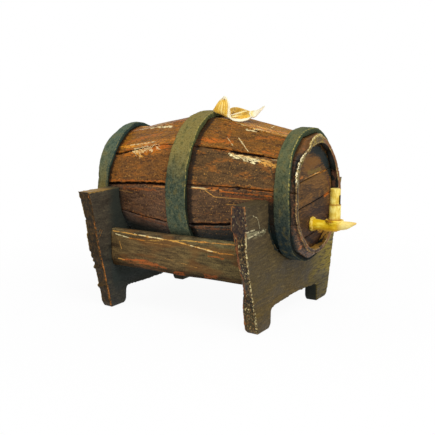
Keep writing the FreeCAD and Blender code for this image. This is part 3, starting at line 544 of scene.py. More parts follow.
def hewn_rim(points, sunk):
    """Moves the wood in front of the head to the rim that the table describes."""
    angle, radius = round_the_axis(points)
    along = points[:, 1]
    amount = ease(along, -88.5, -94)
    wavy = 0.25 * lattice_noise(points, (5, 30, 5), 5)
    outer, inner = round_the_rim(angle, 2), round_the_rim(angle, 3)
    wall = np.clip(1 - sunk / 3, 0, 1)
    wanted = inner + (outer - inner) * wall + wavy
    radius = radius + amount * (wanted - radius)
    reach = np.clip((along + 88) / (FRONT_CHIME + 88), 0, 1)
    along = along + reach * (round_the_rim(angle, 1) - FRONT_CHIME + wavy)
    return from_round(angle, radius, along)


# %% [markdown]
# ## Staves
# A stave is a bent plank, thickest in its grain ridges and worn at its long edges,
# where the seams have opened into black cracks. Each copy of a stave is worn by three
# things: grain that runs along the wood, the open stretches of its two seams, and torn
# hollows where long splinters have come away. How deep a point lies in a crack and how
# far it is from a seam are stored on the mesh, because the finish needs both.

# %% Wear a stave
# (along, angle, half length, half width in degrees, depth in mm) of torn places
TORN_PLACES = (
    (-49, 36.2, 14, 2.6, 1.1), (48, 35.8, 12, 2.4, 0.9), (-64, 35, 10, 2, 0.6),
    (52, 42.5, 16, 2, 0.5), (-8, 42, 6, 2.5, 0.6), (-28, 6, 16, 1.3, 0.6),
    (-14, 6.4, 12, 1.4, 0.7), (30, 6.2, 10, 1, 0.5), (40, 70, 14, 3, 0.8),
)
FINE_SKIN, COARSE_SKIN = 0.62, 0.85
NEAR_STAVES = (1, 9, 10, 11, 12)


def stave_middle(number):
    return FIRST_SEAM + 2.5 * STAVE_ANGLE + STAVE_ANGLE * (number - 1)


def wear_stave(number):
    near = number in NEAR_STAVES
    piece = even_copy(f"stave_{number:02d}", f"worn_stave_{number:02d}",
                      FINE_SKIN if near else COARSE_SKIN)
    points = points_of(piece)
    angle, radius = round_the_axis(points)
    along = points[:, 1].copy()
    centre = stave_middle(number)
    lean = np.radians((angle - centre + 180) % 360 - 180)
    height, across = radius * np.cos(lean), radius * np.sin(lean)
    half = math.radians(STAVE_ANGLE / 2)
    seam_gap = np.maximum(0, (height * math.tan(half) - np.abs(across)) * math.cos(half))
    seam = (centre + np.where(across > 0, 0.5, -0.5) * STAVE_ANGLE) % 360
    flat = outer_flat(along)
    sunk = flat - height
    outside = ease(sunk, 2.5, 0.8)
    rough = lattice_noise(points, (0.9, 5, 0.9), 3)
    groove = 0.55 * np.clip(1 - seam_gap / 1.1, 0, 1)
    for planned, stretches in OPEN_SEAMS.items():
        ours = np.abs(seam - planned) < 1
        for start, end, width, depth in stretches:
            open_here = ease(along, start - 2, start + 2) * ease(along, end + 2, end - 2)
            width_here = width * (1 + 0.55 * rough) * open_here + 1e-6
            cut = depth * np.clip(1.15 - seam_gap / width_here, 0, 1) ** 0.6
            groove = np.where(ours, np.maximum(groove, cut * open_here), groove)
    torn = np.zeros(len(points))
    fibres = lattice_noise(points, (0.8, 9, 0.8), 8)
    for where, at, long, wide, depth in TORN_PLACES:
        spread = np.hypot((along - where) / long, (angle - at) / wide)
        torn = np.maximum(torn, depth * ease(spread + 0.3 * fibres, 1, 0.55)
                          * (0.7 + 0.5 * fibres))
    grain = (0.16 * (lattice_noise(points, (2.2, 30, 2.2), 1) - 0.6)
             + 0.07 * (lattice_noise(points, (0.9, 12, 0.9), 2) - 0.6)
             + 0.22 * (lattice_noise(points, (11, 50, 11), 4) - 0.6))
    deeper = np.maximum(sunk, groove) + outside * (torn - grain)
    swell = 0.8 * ease(angle, 62, 80) * ease(angle, 118, 100) * ease(along, 12, 30) * ease(
        along, 74, 60)
    height_now = np.where(sunk < STAVE_WALL - 0.8, flat - np.maximum(deeper, -0.05), height)
    height_now = height_now + swell * outside
    lean_now = np.arctan2(across * np.where(outside > 0, height_now / height, 1), height_now)
    radius_now = np.hypot(height_now, across)
    turned = centre + np.degrees(lean_now)
    turned = turned + wander(turned % 360, along)
    end_gap = along - FRONT_CHIME
    chips = ease(end_gap, 1.6, 0) * ease(lattice_noise(points, 2.3, 11), 0.1, 0.7)
    placed = hewn_rim(from_round(turned, radius_now, along + 0.5 * chips), sunk)
    inner = height - (END_FLAT - STAVE_WALL)
    store(piece, seam_gap=seam_gap, crack=np.clip(np.maximum(groove, 0) * outside, 0, 4),
          torn=torn * outside, end_gap=end_gap, rim_gap=np.maximum(end_gap, sunk),
          inner_rim_gap=np.maximum(end_gap, inner), inside=ease(inner, 1, 0.3) * (end_gap > 0.6),
          ahead=ahead_of_hoops(turned, placed[:, 1]))
    put_points(piece, placed)
    return piece


staves = {number: wear_stave(number) for number in range(1, 13)}
print("staves:", len(staves), "with", sum(len(s.data.polygons) for s in staves.values()), "faces")

# %% [markdown]
# ## Oiled oak for the staves
# The wood is brown and streaked along its length. Over the grain come glazes, as a
# restorer would lay them: orange where oil has been wiped off near seams and hoops, raw
# cream wood in the torn places, black in the cracks. Painted shade darkens the wood just
# in front of the hoops, under the belly, where the staves pass the stand's boards, low
# on the front rim and on the upper wall inside it. Single strokes are placed by the
# cask's own coordinates.

# %% Stave oak
CREAM = (244, 228, 172)
GOLD = (190, 118, 34)
PALE_OCHRE = (222, 162, 74)
ORANGE = (182, 96, 26)
DEEP_BROWN = (46, 24, 14)
CRACK_BLACK = (14, 8, 6)
# (start along, start angle, end along, end angle, half width mm, colour, strength)
STAVE_STROKES = (
    (-29, 52.8, -37, 45.2, 0.3, CREAM, 0.5), (-37.8, 54.7, -51, 41.6, 0.36, CREAM, 0.9),
    (-39, 36, -62, 35.2, 1.9, CREAM, 0.9), (-50, 33.6, -58, 33, 1.2, CREAM, 0.9),
    (-37, 36.6, -45, 37.2, 0.6, CREAM, 0.8), (-63, 34.4, -76, 33, 2.2, PALE_OCHRE, 0.8),
    (-52, 41.2, -62, 41.6, 0.35, PALE_OCHRE, 0.3), (-70, 38.2, -77, 38, 0.6, CREAM, 0.35),
    (60, 35.4, 26, 37, 4.6, (190, 110, 24), 0.8),
    (77, 42.8, 46, 43.6, 2.8, (214, 138, 36), 1), (52, 43.4, 15, 45.4, 2.6, GOLD, 0.8),
    (64, 44.6, 34, 44.2, 0.7, CREAM, 0.7), (44, 38.4, 18, 38, 2.6, ORANGE, 0.9),
    (60, 37, 45, 35.4, 1.6, (240, 212, 148), 0.9), (52, 34, 44, 30.6, 1.3, PALE_OCHRE, 0.9),
    (44, 38.8, 34, 35.2, 0.9, CREAM, 0.8), (56, 38, 40, 39.2, 0.8, CREAM, 0.8),
    (30, 38, 26, 35.6, 0.6, CREAM, 0.6),
    (78, 36.5, 60, 38.6, 0.9, ORANGE, 0.8), (72, 70, 30, 64, 1.4, CREAM, 0.8),
    (76, 74, 60, 78, 2.6, ORANGE, 0.9), (76, 48, 36, 56, 2.4, ORANGE, 0.5),
    (77, 92, 68, 98, 2.6, PALE_OCHRE, 1), (58, 74, 46, 82, 1.6, CREAM, 0.8),
    (44, 70, 16, 72, 1.6, ORANGE, 0.5),
    (-4, 46, -20, 47, 3.2, ORANGE, 0.8), (-16, 45.5, -34, 48, 2.8, ORANGE, 0.7),
    (-2, 42, -12, 41.5, 1.8, ORANGE, 0.8), (-28, 62, -30, 52, 1.4, ORANGE, 0.4),
    (-36, 74, -76, 82, 3, (198, 122, 36), 0.9), (-38, 80, -54, 79, 2.2, PALE_OCHRE, 0.9),
    (-60, 72, -76, 74, 1.6, PALE_OCHRE, 0.8),
    (-40, 66, -48, 66, 0.9, CREAM, 0.6), (-62, 45, -77, 43, 1.8, ORANGE, 0.6),
    (-29, 73, -37, 72, 1.2, (240, 214, 140), 0.6), (-42, 70.5, -57, 71.5, 1.4, PALE_OCHRE, 0.9),
    (-46, 71.2, -54, 71.4, 0.6, CREAM, 0.8),
    (-52, 60, -76, 66, 2.2, ORANGE, 0.4), (78, 7.2, 14, 10.2, 0.9, ORANGE, 0.6),
    (-10, 7.4, -36, 7.2, 0.8, ORANGE, 0.9), (-12, 7.6, -24, 7.4, 0.4, CREAM, 0.7),
    (-36, 6.2, -77, 4.6, 0.7, ORANGE, 0.8), (-40, 2.6, -77, 1.4, 1.6, (128, 66, 30), 0.6),
    (-24, 5.8, -31, 1.4, 0.4, PALE_OCHRE, 0.8),
    (-31, 1.4, -64, 0.6, 0.35, PALE_OCHRE, 0.5), (-40, -4, -70, -5, 0.4, PALE_OCHRE, 0.35),
    (30, 5.2, 13, 6, 0.7, (206, 134, 62), 0.6), (60, 1, 22, 3, 1.4, ORANGE, 0.4),
    (76, -1, 50, -2, 0.5, PALE_OCHRE, 0.3), (50, -23.6, 16, -25, 0.9, ORANGE, 0.4),
    (-10, -24, -46, -26, 1.2, ORANGE, 0.4), (62, 11, 54, 13, 0.6, PALE_OCHRE, 0.4),
)
# stave: (middle colour behind the centre hoop, middle colour in front of it)
STAVE_LOOKS = {
    1: ((120, 78, 18), (134, 92, 12)), 12: ((126, 82, 22), (108, 71, 23)),
    11: ((110, 72, 30), (82, 60, 33)), 10: ((95, 70, 51), (83, 62, 42)),
    9: ((112, 92, 78), (76, 70, 60)), 0: ((74, 52, 32), (74, 52, 32)),
}


def grain_of(grain, middle):
    """Four tones of one wood colour, from the dark pores to the bright fibres."""
    tones = ((0.38, 0.68, 0.64), (0.46, 0.9, 0.88), (0.53, 1.06, 1.05), (0.63, 1.28, 1.22))
    return grain.ramp(*((stop, (middle[0] * red, middle[1] * green, middle[2] * green))
                        for stop, red, green in tones))


def stave_oak(number, centre):
    behind, in_front = STAVE_LOOKS[number]
    coat = Finish(f"stave_oak_{number:02d}", roughness=0.55, fray=(1.2, 6, 1.2))
    up = coat.z - CASK_AXIS_HEIGHT
    angle = up.sum_with("ARCTAN2", coat.x * -1) * (180 / math.pi)
    along = coat.y
    broad = coat.noise((8, 44, 8), 3, 1, 0.6)
    streaks = coat.noise((2, 13, 2), 4, 2, 0.4)
    fibre = coat.noise((1.1, 4.6, 1.1), 2, 3)
    specks = coat.noise(1.15, 2, 4)
    grain = broad * 0.22 + streaks * 0.36 + fibre * 0.27 + specks * 0.15
    front_half = (along + (broad - 0.5) * 40).soft(4, -10)
    colour = grain_of(grain, behind).lay(grain_of(grain, in_front), front_half)
    flame = 0.4 if number in (1, 11, 12) else 0.12
    colour = colour.lay((162, 94, 26), coat.noise((5, 20, 5), 3, 12).soft(0.5, 0.64) * flame
                        * fibre.soft(0.42, 0.56))
    gap = coat.stored("seam_gap")
    warm = gap.soft(3.6, 0.6) * coat.noise((5, 16, 5), 3, 7).soft(0.42, 0.6)
    colour = colour.lay((176, 98, 28), warm * fibre.soft(0.38, 0.54) * 0.6)
    colour = colour.glaze((116, 100, 84), specks.soft(0.4, 0.28) * 0.8)
    colour = colour.lay((206, 148, 66), specks.soft(0.61, 0.72) * 0.5)
    near = [stroke for stroke in STAVE_STROKES
            if number and abs((stroke[1] + stroke[3]) / 2 - centre) < 20]

    def broken(stroke, width):
        bare = 0.4 if width < 3.5 else 0.32
        return stroke * (fibre * 0.6 + specks * 0.4).soft(bare, bare + 0.1) if width > 0.55 else stroke

    colour = coat.strokes(colour, along, angle, near, 3.1,
                          lambda width, tint: 0.9 if width > 0.55 else 0.2, broken)
    raw = coat.stored("torn").soft(0.18, 0.7) * fibre.soft(0.44, 0.54)
    colour = colour.lay((226, 184, 112), raw * 0.7)
    ahead = coat.stored("ahead")
    nearer = along.soft(40, 20) * (1 - along.soft(-80, -84))
    shadow = (ahead + (fibre - 0.5) * 3 - nearer * 2.2).soft(2.8, 0.6)
    colour = colour.lay((24, 20, 17), shadow * 0.85)
    # Painted shade on the lower staves where they pass the front board, behind the front hoop, and where
    # they run into the rear board.
    shade_by_boards = along.soft(-70.5, -73) * along.soft(-80.5, -79)
    shade_by_boards = shade_by_boards + along.soft(60, 67)
    colour = colour.lay((24, 29, 26), shade_by_boards * angle.soft(5, -6) * 0.85)
    # Painted shade under the belly, on the staves below about -30 degrees.
    colour = colour.lay((26, 47, 46), angle.soft(-27, -37) * along.soft(82, 74) * 0.8)
    front_end = along.soft(-85, -86.5)
    blotch = coat.noise((4, 4, 6), 3, 11)
    rim_wood = (blotch * 0.5 + specks * 0.5).ramp((0.36, (24, 19, 16)), (0.48, (54, 41, 31)),
        (0.62, (104, 74, 44)))
    rim_wood = rim_wood.lay((150, 78, 44), blotch.soft(0.56, 0.66) * 0.4)
    rim_wood = rim_wood.lay((112, 74, 34), coat.z.soft(128, 142) * 0.6)
    rim_wood = rim_wood.glaze((362, 374, 402), angle.soft(12, -4))
    # Painted shade, green-black, low on the near side of the front rim.
    rim_wood = rim_wood.lay((20, 28, 28), angle.soft(-20, -28) * angle.soft(-60, -48)
                            * along.soft(-92, -89) * 0.8)
    # Dark blotches on the upper near rim beside the front hoop: partly painted shade, partly dark wood.
    rim_wood = rim_wood.lay((24, 30, 30), angle.soft(10, 18) * angle.soft(52, 42)
                            * blotch.soft(0.62, 0.5) * 0.75)
    colour = colour.lay(rim_wood, front_end * (1 - shadow * 0.7))
    rim = coat.stored("rim_gap")
    zigzag = angle.soft(14, 24) * angle.soft(56, 42)
    on_top = angle.soft(50, 60) * angle.soft(108, 96)
    far_side = coat.x.soft(4, 14)
    chips = coat.noise(1.3, 2, 9).soft(0.5, 0.56)
    dots = coat.noise(1.5, 3, 19).soft(0.57, 0.63)
    groove = rim.soft(3.2, 1.8) * front_end
    colour = colour.lay((26, 19, 14), groove * (1 - on_top) * (1 - far_side) * 0.6)
    end_face = coat.stored("end_gap").soft(0.9, 0.4)
    olive = (specks * 0.7 + blotch * 0.3).ramp((0.42, (38, 28, 14)), (0.5, (92, 76, 32)),
        (0.58, (162, 142, 66)))
    colour = colour.lay(olive, end_face * (zigzag * 0.8 + on_top * 0.7))
    colour = colour.lay((128, 80, 42), end_face * far_side * 0.8)
    outline = rim.soft(0.9, 0.4) * front_end * specks.soft(0.34, 0.46)
    colour = colour.lay((204, 184, 104), outline * on_top * 0.8)
    colour = colour.lay((148, 128, 58), outline * far_side * 0.8)
    colour = colour.lay((150, 118, 68), rim.soft(0.9, 0.4) * front_end * 0.45)
    fleck = coat.blend((196, 164, 104), (240, 224, 168), angle.soft(8, 22))
    colour = colour.lay(fleck, rim.soft(1.1, 0.6) * dots * front_end * (1 - far_side))
    colour = colour.lay((250, 240, 196), rim.soft(1.5, 0.8) * chips * zigzag * front_end)
    inner = coat.stored("inner_rim_gap").soft(1, 0.4) * front_end
    inner = inner * coat.noise(1.6, 3, 10).soft(0.36, 0.5)
    inner_line = coat.blend((172, 146, 74), (208, 192, 118), far_side)
    colour = colour.lay(inner_line, inner * 0.8)
    inside = coat.stored("inside") * front_end
    # The rim's inner wall: near-black painted shade on its upper part, brown and ochre wood lower down.
    inner_wall_shade_and_wood = coat.blend((24, 30, 28), (82, 56, 42), blotch.soft(0.44, 0.54) * coat.z.soft(122, 114))
    inner_wall_shade_and_wood = inner_wall_shade_and_wood.lay((150, 112, 44), coat.z.soft(76, 68) * blotch.soft(0.42, 0.52))
    colour = colour.lay(inner_wall_shade_and_wood, inside * 0.85)
    black = coat.stored("crack").soft(0.75, 1.5)
    colour = colour.lay(CRACK_BLACK, black)
    edge_shadow = gap.soft(0.9, 0.2) * 0.6
    colour = colour.lay(DEEP_BROWN, edge_shadow * (1 - front_end))
    relief = streaks * 0.4 + fibre * 0.6 + specks * 0.4
    return coat.finish(colour, relief, 0.55, streaks.soft(0.2, 0.9) * 0.25 + 0.42)


oak_looks = {number: stave_oak(number, (stave_middle(number) + 180) % 360 - 180)
             for number in STAVE_LOOKS}
for number, piece in staves.items():
    finish_piece(piece, "cask", "stave_oak", oak_looks.get(number, oak_looks[0]),
                 f"stave_{number:02d}")


# %% [markdown]
# ## Hoops
# The hoops are thick straps with a napped, felt-like face. Nailed on by eye, each one
# leans and wavers, so each edge has a table of where it lies, angle by angle. Noise
# lifts the nap by a tenth of a millimetre. The colour changes with height as painted
# light and shade, dark blue-green where a hoop is shaded and olive where light falls.
# Along the front edge runs a line of pale nap with a painted highlight, strongest on
# top, and the front side face and the rear hoop's front strip get painted shade.

# %% Hoops
# name: (swelling on top in mm, pale nap, height share of the middle colour,
#        colour below, in the middle, on top; the three colours carry painted light and shade)
HOOP_LOOKS = {
    "front_hoop": (1.7, 0.12, 0.45, (41, 55, 57), (70, 74, 54), (90, 94, 64)),
    "centre_hoop": (1.3, 0.3, 0.66, (78, 88, 70), (58, 68, 54), (130, 116, 64)),
    "rear_hoop": (0.8, 0.25, 0.45, (88, 84, 46), (112, 100, 54), (84, 98, 80)),
}
HOOP_SKIN = 0.6
ROUNDED_SHARE = 0.65
LAP_ANGLE, TOP_ANGLE = 173.5, 92


def wear_hoop(name, swelling):
    piece = even_copy(name, f"felted_{name}", HOOP_SKIN)
    points = points_of(piece)
    angle, radius = round_the_axis(points)
    along = points[:, 1]
    place = (angle - FIRST_SEAM) % STAVE_ANGLE - STAVE_ANGLE / 2
    flat = outer_flat(along)
    face = flat / np.cos(np.radians(place))
    outward = ease(radius - face, 0.5, 2.6)
    lapped = ease(np.abs(angle - LAP_ANGLE), 22, 16)
    rounder = (flat + 3.55 - (flat + 3) / np.cos(np.radians(place))) * ROUNDED_SHARE
    top = ease(np.abs((angle - TOP_ANGLE + 180) % 360 - 180), 75, 20)
    nap = (0.1 * lattice_noise(points, 0.9, 21) + 0.14 * lattice_noise(points, 5, 22)
           + 0.2 * lattice_noise(points, 18, 23))
    radius = radius + outward * (nap + swelling * top + rounder * (1 - lapped))
    front, rear = along.min(), along.max()
    share = (along - front) / (rear - front)
    ragged = 0.12 * lattice_noise(points, 1.2, 25) + 0.15 * lattice_noise(points, (7, 60, 7), 24)
    new_along = ((1 - share) * (hoop_edge(name, angle, 1) - ragged)
                 + share * (hoop_edge(name, angle, 2) + ragged))
    follow = outer_flat(new_along) - flat
    store(piece, front_gap=along - front, outward=outward)
    put_points(piece, from_round(angle, radius + follow, new_along))
    return piece


def hoop_felt(name, pale_nap, middle_at, low, middle, top):
    coat = Finish(f"{name}_felt", roughness=0.9)
    # Painted light and shade: the colour follows height, with each hoop's own colours below, in the
    # middle and on top.
    height = coat.z + (coat.noise(14, 2, 3) - 0.5) * 22
    colour = height.soft(46, 158).ramp((0.15, low), (middle_at, middle), (0.9, top))
    fine = coat.noise(1.1, 3, 5)
    nap = coat.noise((1.3, 3.6, 2), 3, 6, 0.4)
    blotch = coat.noise((6, 4, 6), 3, 8)
    colour = colour.lay((124, 108, 54), blotch.soft(0.52, 0.68) * 0.35)
    colour = colour.glaze((150, 178, 186), blotch.soft(0.48, 0.34) * 0.6)
    colour = colour.glaze((150, 158, 152), fine.soft(0.52, 0.34) * 0.6)
    colour = colour.lay((140, 138, 98), fine.soft(0.56, 0.72) * pale_nap)
    colour = colour.lay((126, 124, 84), nap.soft(0.54, 0.68) * pale_nap)
    gap = coat.stored("front_gap")
    outward = coat.stored("outward")
    # A line of pale nap along the front edge, strengthened towards the top as a painted highlight.
    line = gap.soft(1, 0.5) * gap.soft(-0.1, 0.3) * outward.soft(0.6, 0.95)
    line = line * coat.noise(1.8, 3, 9).soft(0.44, 0.58)
    line = line * (coat.z.soft(92, 118) * 0.8 + 0.2)
    colour = colour.lay((184, 166, 86), line * 0.7)
    if name == "rear_hoop":
        # Painted shade on the rear hoop's face just behind its front edge, on its upper part.
        painted_lee_shade = (gap + (fine - 0.5) * 2).soft(2.4, 1) * coat.z.soft(80, 110)
        colour = colour.lay((50, 68, 64), painted_lee_shade * 0.6)
    # Painted shade on the hoop's front side face, lighter and bluer towards the top.
    side = gap.soft(0.35, 0.1)
    colour = colour.glaze(coat.blend((120, 130, 130), (172, 194, 208), coat.z.soft(96, 130)), side)
    return coat.finish(colour, fine * 0.7 + nap * 0.5, 0.5)


for name, (swelling, *look) in HOOP_LOOKS.items():
    finish_piece(wear_hoop(name, swelling), "cask", "hoop_leather", hoop_felt(name, *look), name)


# %% [markdown]
# ## Rivets
# The rivets sit on the far side. Their solids are right as they are, so they only get
# a finish of dark, blotched iron.

# %% Rivets
def blotched_iron():
    coat = Finish("blotched_iron", roughness=0.5)
    rust = coat.noise(0.9, 3, 2)
    colour = rust.ramp((0.35, (52, 50, 48)), (0.55, (74, 62, 52)), (0.7, (112, 66, 38)))
    coat.shader.inputs["Metallic"].default_value = 0.55
    return coat.finish(colour, rust, 0.2)


dress(nodes["hoop_rivets"], blotched_iron())

# %% [markdown]
# ## Head boards
# The front head is four short boards, edge to edge, a little way inside the rim. They
# lean with the cask, so heights on the head are measured square to the boards' seams.
# The edges of each board are eased and its grain runs from side to side.

# %% Head boards
HEAD_BOARDS = ("top", "upper", "lower", "bottom")
CASK_ROLL = math.radians(6.5)
HEAD_SKIN = 0.7


def wear_head_board(end, board, seed):
    name = f"{end}_head_{board}_board"
    piece = even_copy(name, f"worn_{name}", HEAD_SKIN)
    points = points_of(piece)
    along = points[:, 1].copy()
    face = along.min() if end == "front" else along.max()
    depth = np.abs(along - face)
    upright = points[:, 2] - CASK_AXIS_HEIGHT
    own_height = upright * math.cos(CASK_ROLL) - points[:, 0] * math.sin(CASK_ROLL)
    low, high = own_height.min(), own_height.max()
    seam_gap = np.minimum(own_height - low, high - own_height)
    seam_gap = np.where((board == "top") & (own_height > low + 12), 9, seam_gap)
    seam_gap = np.where((board == "bottom") & (own_height < high - 12), 9, seam_gap)
    on_face = ease(depth, 2, 0.4)
    eased = 0.6 * np.clip(1 - seam_gap / 0.8, 0, 1) ** 2
    grain = 0.14 * lattice_noise(points, (26, 2, 1.8), seed) + 0.1 * lattice_noise(
        points, (60, 9, 12), seed + 1)
    inward = on_face * (eased + grain + 0.08)
    moved = points.copy()
    moved[:, 1] += inward * (1 if end == "front" else -1)
    store(piece, seam_gap=seam_gap, tone=np.full(len(points), math.sin(seed * 2.3)))
    put_points(piece, moved)
    return piece


# DEEP_SHADE strokes are the painted shadow that the rim casts across the upper front head.
DEEP_SHADE = (16, 26, 24)
# (start x, start height, end x, end height, half width, colour, strength)
HEAD_STROKES = (
    (-14, 124, 12, 127, 5, (114, 74, 25), 0.7), (-8, 118, 14, 119, 2.4, (118, 94, 36), 0.7),
    (-26, 90.9, 28, 96.9, 0.7, CRACK_BLACK, 0.95), (26, 96, 33, 97.6, 1.5, ORANGE, 0.8),
    (-24, 115.2, -20, 115.6, 1.1, (186, 112, 42), 0.6),
    (-14, 114.2, 0, 115.6, 0.5, PALE_OCHRE, 0.35), (4, 115.9, 15, 116.4, 0.7, CREAM, 0.8),
    (0, 115.7, 27, 117.2, 0.8, (196, 130, 44), 0.85), (-20, 111, 20, 113, 2.6, (110, 76, 28), 0.5),
    (-10, 137.6, 12, 135, 5, DEEP_SHADE, 0.95), (8, 134, 27, 125, 6.4, DEEP_SHADE, 0.95),
    (25, 127, 36, 115, 6.4, DEEP_SHADE, 0.95), (37, 117, 46, 106, 4.4, DEEP_SHADE, 0.9),
    (43, 104, 47, 84, 3, DEEP_SHADE, 0.85), (30, 112, 38, 100, 2, (74, 48, 42), 0.6),
    (-10, 67, 4, 61, 2.8, CRACK_BLACK, 0.85),
    (4, 61, 20, 59, 2, (52, 34, 30), 0.8), (8, 71, 24, 67.5, 2.2, (176, 128, 42), 0.85),
    (24, 68, 38, 67, 1.8, (160, 110, 44), 0.8), (18, 64, 40, 62, 1.6, (60, 38, 32), 0.8),
    (12, 74.5, 30, 74, 0.9, CRACK_BLACK, 0.6), (-34, 78, -22, 64, 1.4, DEEP_BROWN, 0.6),
)


def head_oak():
    coat = Finish("head_oak", roughness=0.6, fray=(6, 4, 1.2))
    broad = coat.noise((30, 20, 7), 3, 1, 0.5)
    fibre = coat.noise((6, 4, 1.2), 3, 2)
    specks = coat.noise(1.1, 2, 3)
    tone = coat.stored("tone")
    colour = (broad * 0.35 + fibre * 0.4 + specks * 0.25 + tone * 0.02).ramp((0.4, (50, 34, 17)),
        (0.5, (88, 60, 27)), (0.6, (122, 83, 36)))
    upper = coat.z.soft(104, 124)
    colour = colour.lay((112, 76, 28), upper * broad.soft(0.42, 0.6) * 0.6)
    colour = colour.glaze((206, 204, 250), coat.z.soft(92, 86))
    colour = colour.lay((150, 104, 44), fibre.soft(0.58, 0.7) * 0.4)
    seam = coat.stored("seam_gap").soft(0.9, 0.3)
    colour = colour.lay(CRACK_BLACK, seam * 0.35)
    front = coat.y.soft(-60, -70)
    ragged = {CRACK_BLACK: 0.35, DEEP_SHADE: 0.5}
    colour = coat.strokes(colour, coat.x, coat.z, HEAD_STROKES, 2.7,
                          lambda width, tint: ragged.get(tint, 0.7),
                          lambda stroke, width: stroke * front)
    return coat.finish(colour, fibre * 0.7 + broad * 0.4, 0.4)


oak_for_heads = head_oak()
for end, board in itertools.product(("front", "rear"), HEAD_BOARDS):
    seed = 31 + HEAD_BOARDS.index(board) * 2 + (end == "rear") * 10
    worn = wear_head_board(end, board, seed)
    finish_piece(worn, "cask", "head_oak", oak_for_heads, f"{end}_head_{board}_board")
for end in ("front", "rear"):
    dress(nodes[f"{end}_head_dowels"], oak_for_heads)

# %% [markdown]
# ## End boards of the stand
# Each end board was cut with a knife: its long edges bulge, step and lean, and each
# arris goes its own way. The two arrises of an edge therefore have a table of their
# own, which says how far outside the planned line the wood reaches at each height. The
# points near the edge are moved by a mix of both tables, and the feet are worn round.

# %% Hew an end board
BOARD_FOOT_HALF, BOARD_LEAN = 65.3, 0.26786
BOARD_SKIN = 0.8
FOOT_MIDDLE, FOOT_TAPER = 54.9, 0.17
LIP_DEPTH, RAISED_CORNER = 2.2, 3.4
# (height, how far out) for the front and the rear arris of each long edge
BOARD_EDGES = {
    "front_board": {
        "near_front": ((0, 2), (16, 1.7), (36, 3.2), (51, 4.2), (69, 3), (80, 0.4),
                       (82.5, -1.6), (90, -1.4), (101, -2.6)),
        "near_rear": ((0, 1), (5, 1.3), (21, 0), (33, -4), (44, -4.1), (60, -0.4),
                      (80.5, -0.4), (83.2, 2.9), (92, 0.4), (101, -2.6)),
        "far_front": ((0, 2.6), (20, 2.2), (45, 1.2), (70, 0.2), (84, 0.8), (92, 2.6), (101, 2.8)),
        "far_rear": ((0, 0), (30, 0.8), (60, -0.6), (101, 0)),
    },
    "rear_board": {
        "near_front": ((0, 0.2), (25, 0.4), (50, 0.9), (70, 0.2), (88, -0.4), (101, 0.6)),
        "near_rear": ((0, -1.2), (14, -2.4), (19, 0.2), (21, -2), (33, -1.9), (35.5, 0.6),
                      (38, -1.9), (45, 0.2), (52, 0.9), (57, 0.4), (64, 0.4), (66, -1.2),
                      (76, -1.9), (88, -1.7), (101, 0.2)),
        "far_front": ((0, 0.4), (40, -0.6), (80, 0.5), (101, 0)),
        "far_rear": ((0, 0), (25, 1), (55, -0.5), (101, 0.4)),
    },
}


def hew_board(name, seed):
    piece = even_copy(name, f"hewn_{name}", BOARD_SKIN)
    points = points_of(piece)
    x, y, z = points.T.copy()
    front, rear, top = y.min(), y.max(), z.max()
    side_gap = (BOARD_FOOT_HALF + BOARD_LEAN * z - np.abs(x)) / math.hypot(1, BOARD_LEAN)
    share = (y - front) / (rear - front)
    bulge = np.zeros(len(points))
    for edge, mask in (("near", x < 0), ("far", x >= 0)):
        front_line, rear_line = (np.interp(z, *np.array(BOARD_EDGES[name][f"{edge}_{side}"]).T)
                                 for side in ("front", "rear"))
        bulge = np.where(mask, (1 - share) * front_line + share * rear_line, bulge)
    outward = np.sign(x)
    x = x + outward * bulge * ease(side_gap, 14, 0)
    if name == "front_board":
        angle, radius = round_the_axis(points)
        lip = ease(y - front, 3, 0.5) * ease(radius, 54, 51) * ease(
            angle, 283, 288) * ease(angle, 307, 301)
        shrink = 1 - LIP_DEPTH * lip / radius
        x, z = x * shrink, CASK_AXIS_HEIGHT + (z - CASK_AXIS_HEIGHT) * shrink
        z = z + RAISED_CORNER * ease(x, 80, 89) * ease(z, 90, 100)
    sole = np.clip(1 - z / 5, 0, 1) ** 2
    foot_middle, board_middle = outward * FOOT_MIDDLE, (front + rear) / 2
    x = foot_middle + (x - foot_middle) * (1 - FOOT_TAPER * sole)
    y = board_middle + (y - board_middle) * (1 - FOOT_TAPER * sole)
    ragged = ease(z, 20, 16) * ease(np.abs(x), 46, 43) * (z > 10)
    z = z + ragged * 0.55 * lattice_noise(points, (2.2, 6, 2.2), seed)
    arris = np.maximum(side_gap, np.minimum(y - front, rear - y))
    chip = ease(arris, 1.5, 0.2) * ease(lattice_noise(points, 1.9, seed + 1), 0.05, 0.6)
    x = x - outward * chip * 0.8
    y = y + np.where(share < 0.5, 1, -1) * chip * 0.5
    rim_gap = np.minimum(points[:, 1] - front, rear - points[:, 1])
    top_chip = (ease(np.maximum(top - points[:, 2], rim_gap), 1.6, 0.3)
                * ease(lattice_noise(points, 2.6, seed + 2), 0, 0.6))
    z = z - top_chip * 0.7
    moved = np.stack([x, y, z], axis=1)
    for axis in range(3):
        wavy = 0.2 * lattice_noise(points, (13, 9, 13), seed + 5 + axis)
        fine = 0.07 * lattice_noise(points, (2.6, 1.3, 1.3), seed + 8 + axis)
        moved[:, axis] += (wavy + fine) * (ease(points[:, 2], 0, 3) if axis == 2 else 1)
    store(piece, side_gap=side_gap, front_gap=points[:, 1] - front,
          rear_gap=rear - points[:, 1], top_gap=top - points[:, 2])
    put_points(piece, moved)
    return piece


# %% [markdown]
# ## Finishes of the stand
# One recipe serves both end boards: an olive-brown oil stain over grain that runs from
# side to side, a nearly black long edge, partly dark wood and partly painted shade, with
# worn patches, a bright line where the stain has rubbed off an arris, and cream flecks
# in its chips. Painted shade also falls on the front board's inner face, its far foot
# and a band beside the front hoop, and on the rear board's lower part and its side by
# the cask. Each board only chooses its own colours.

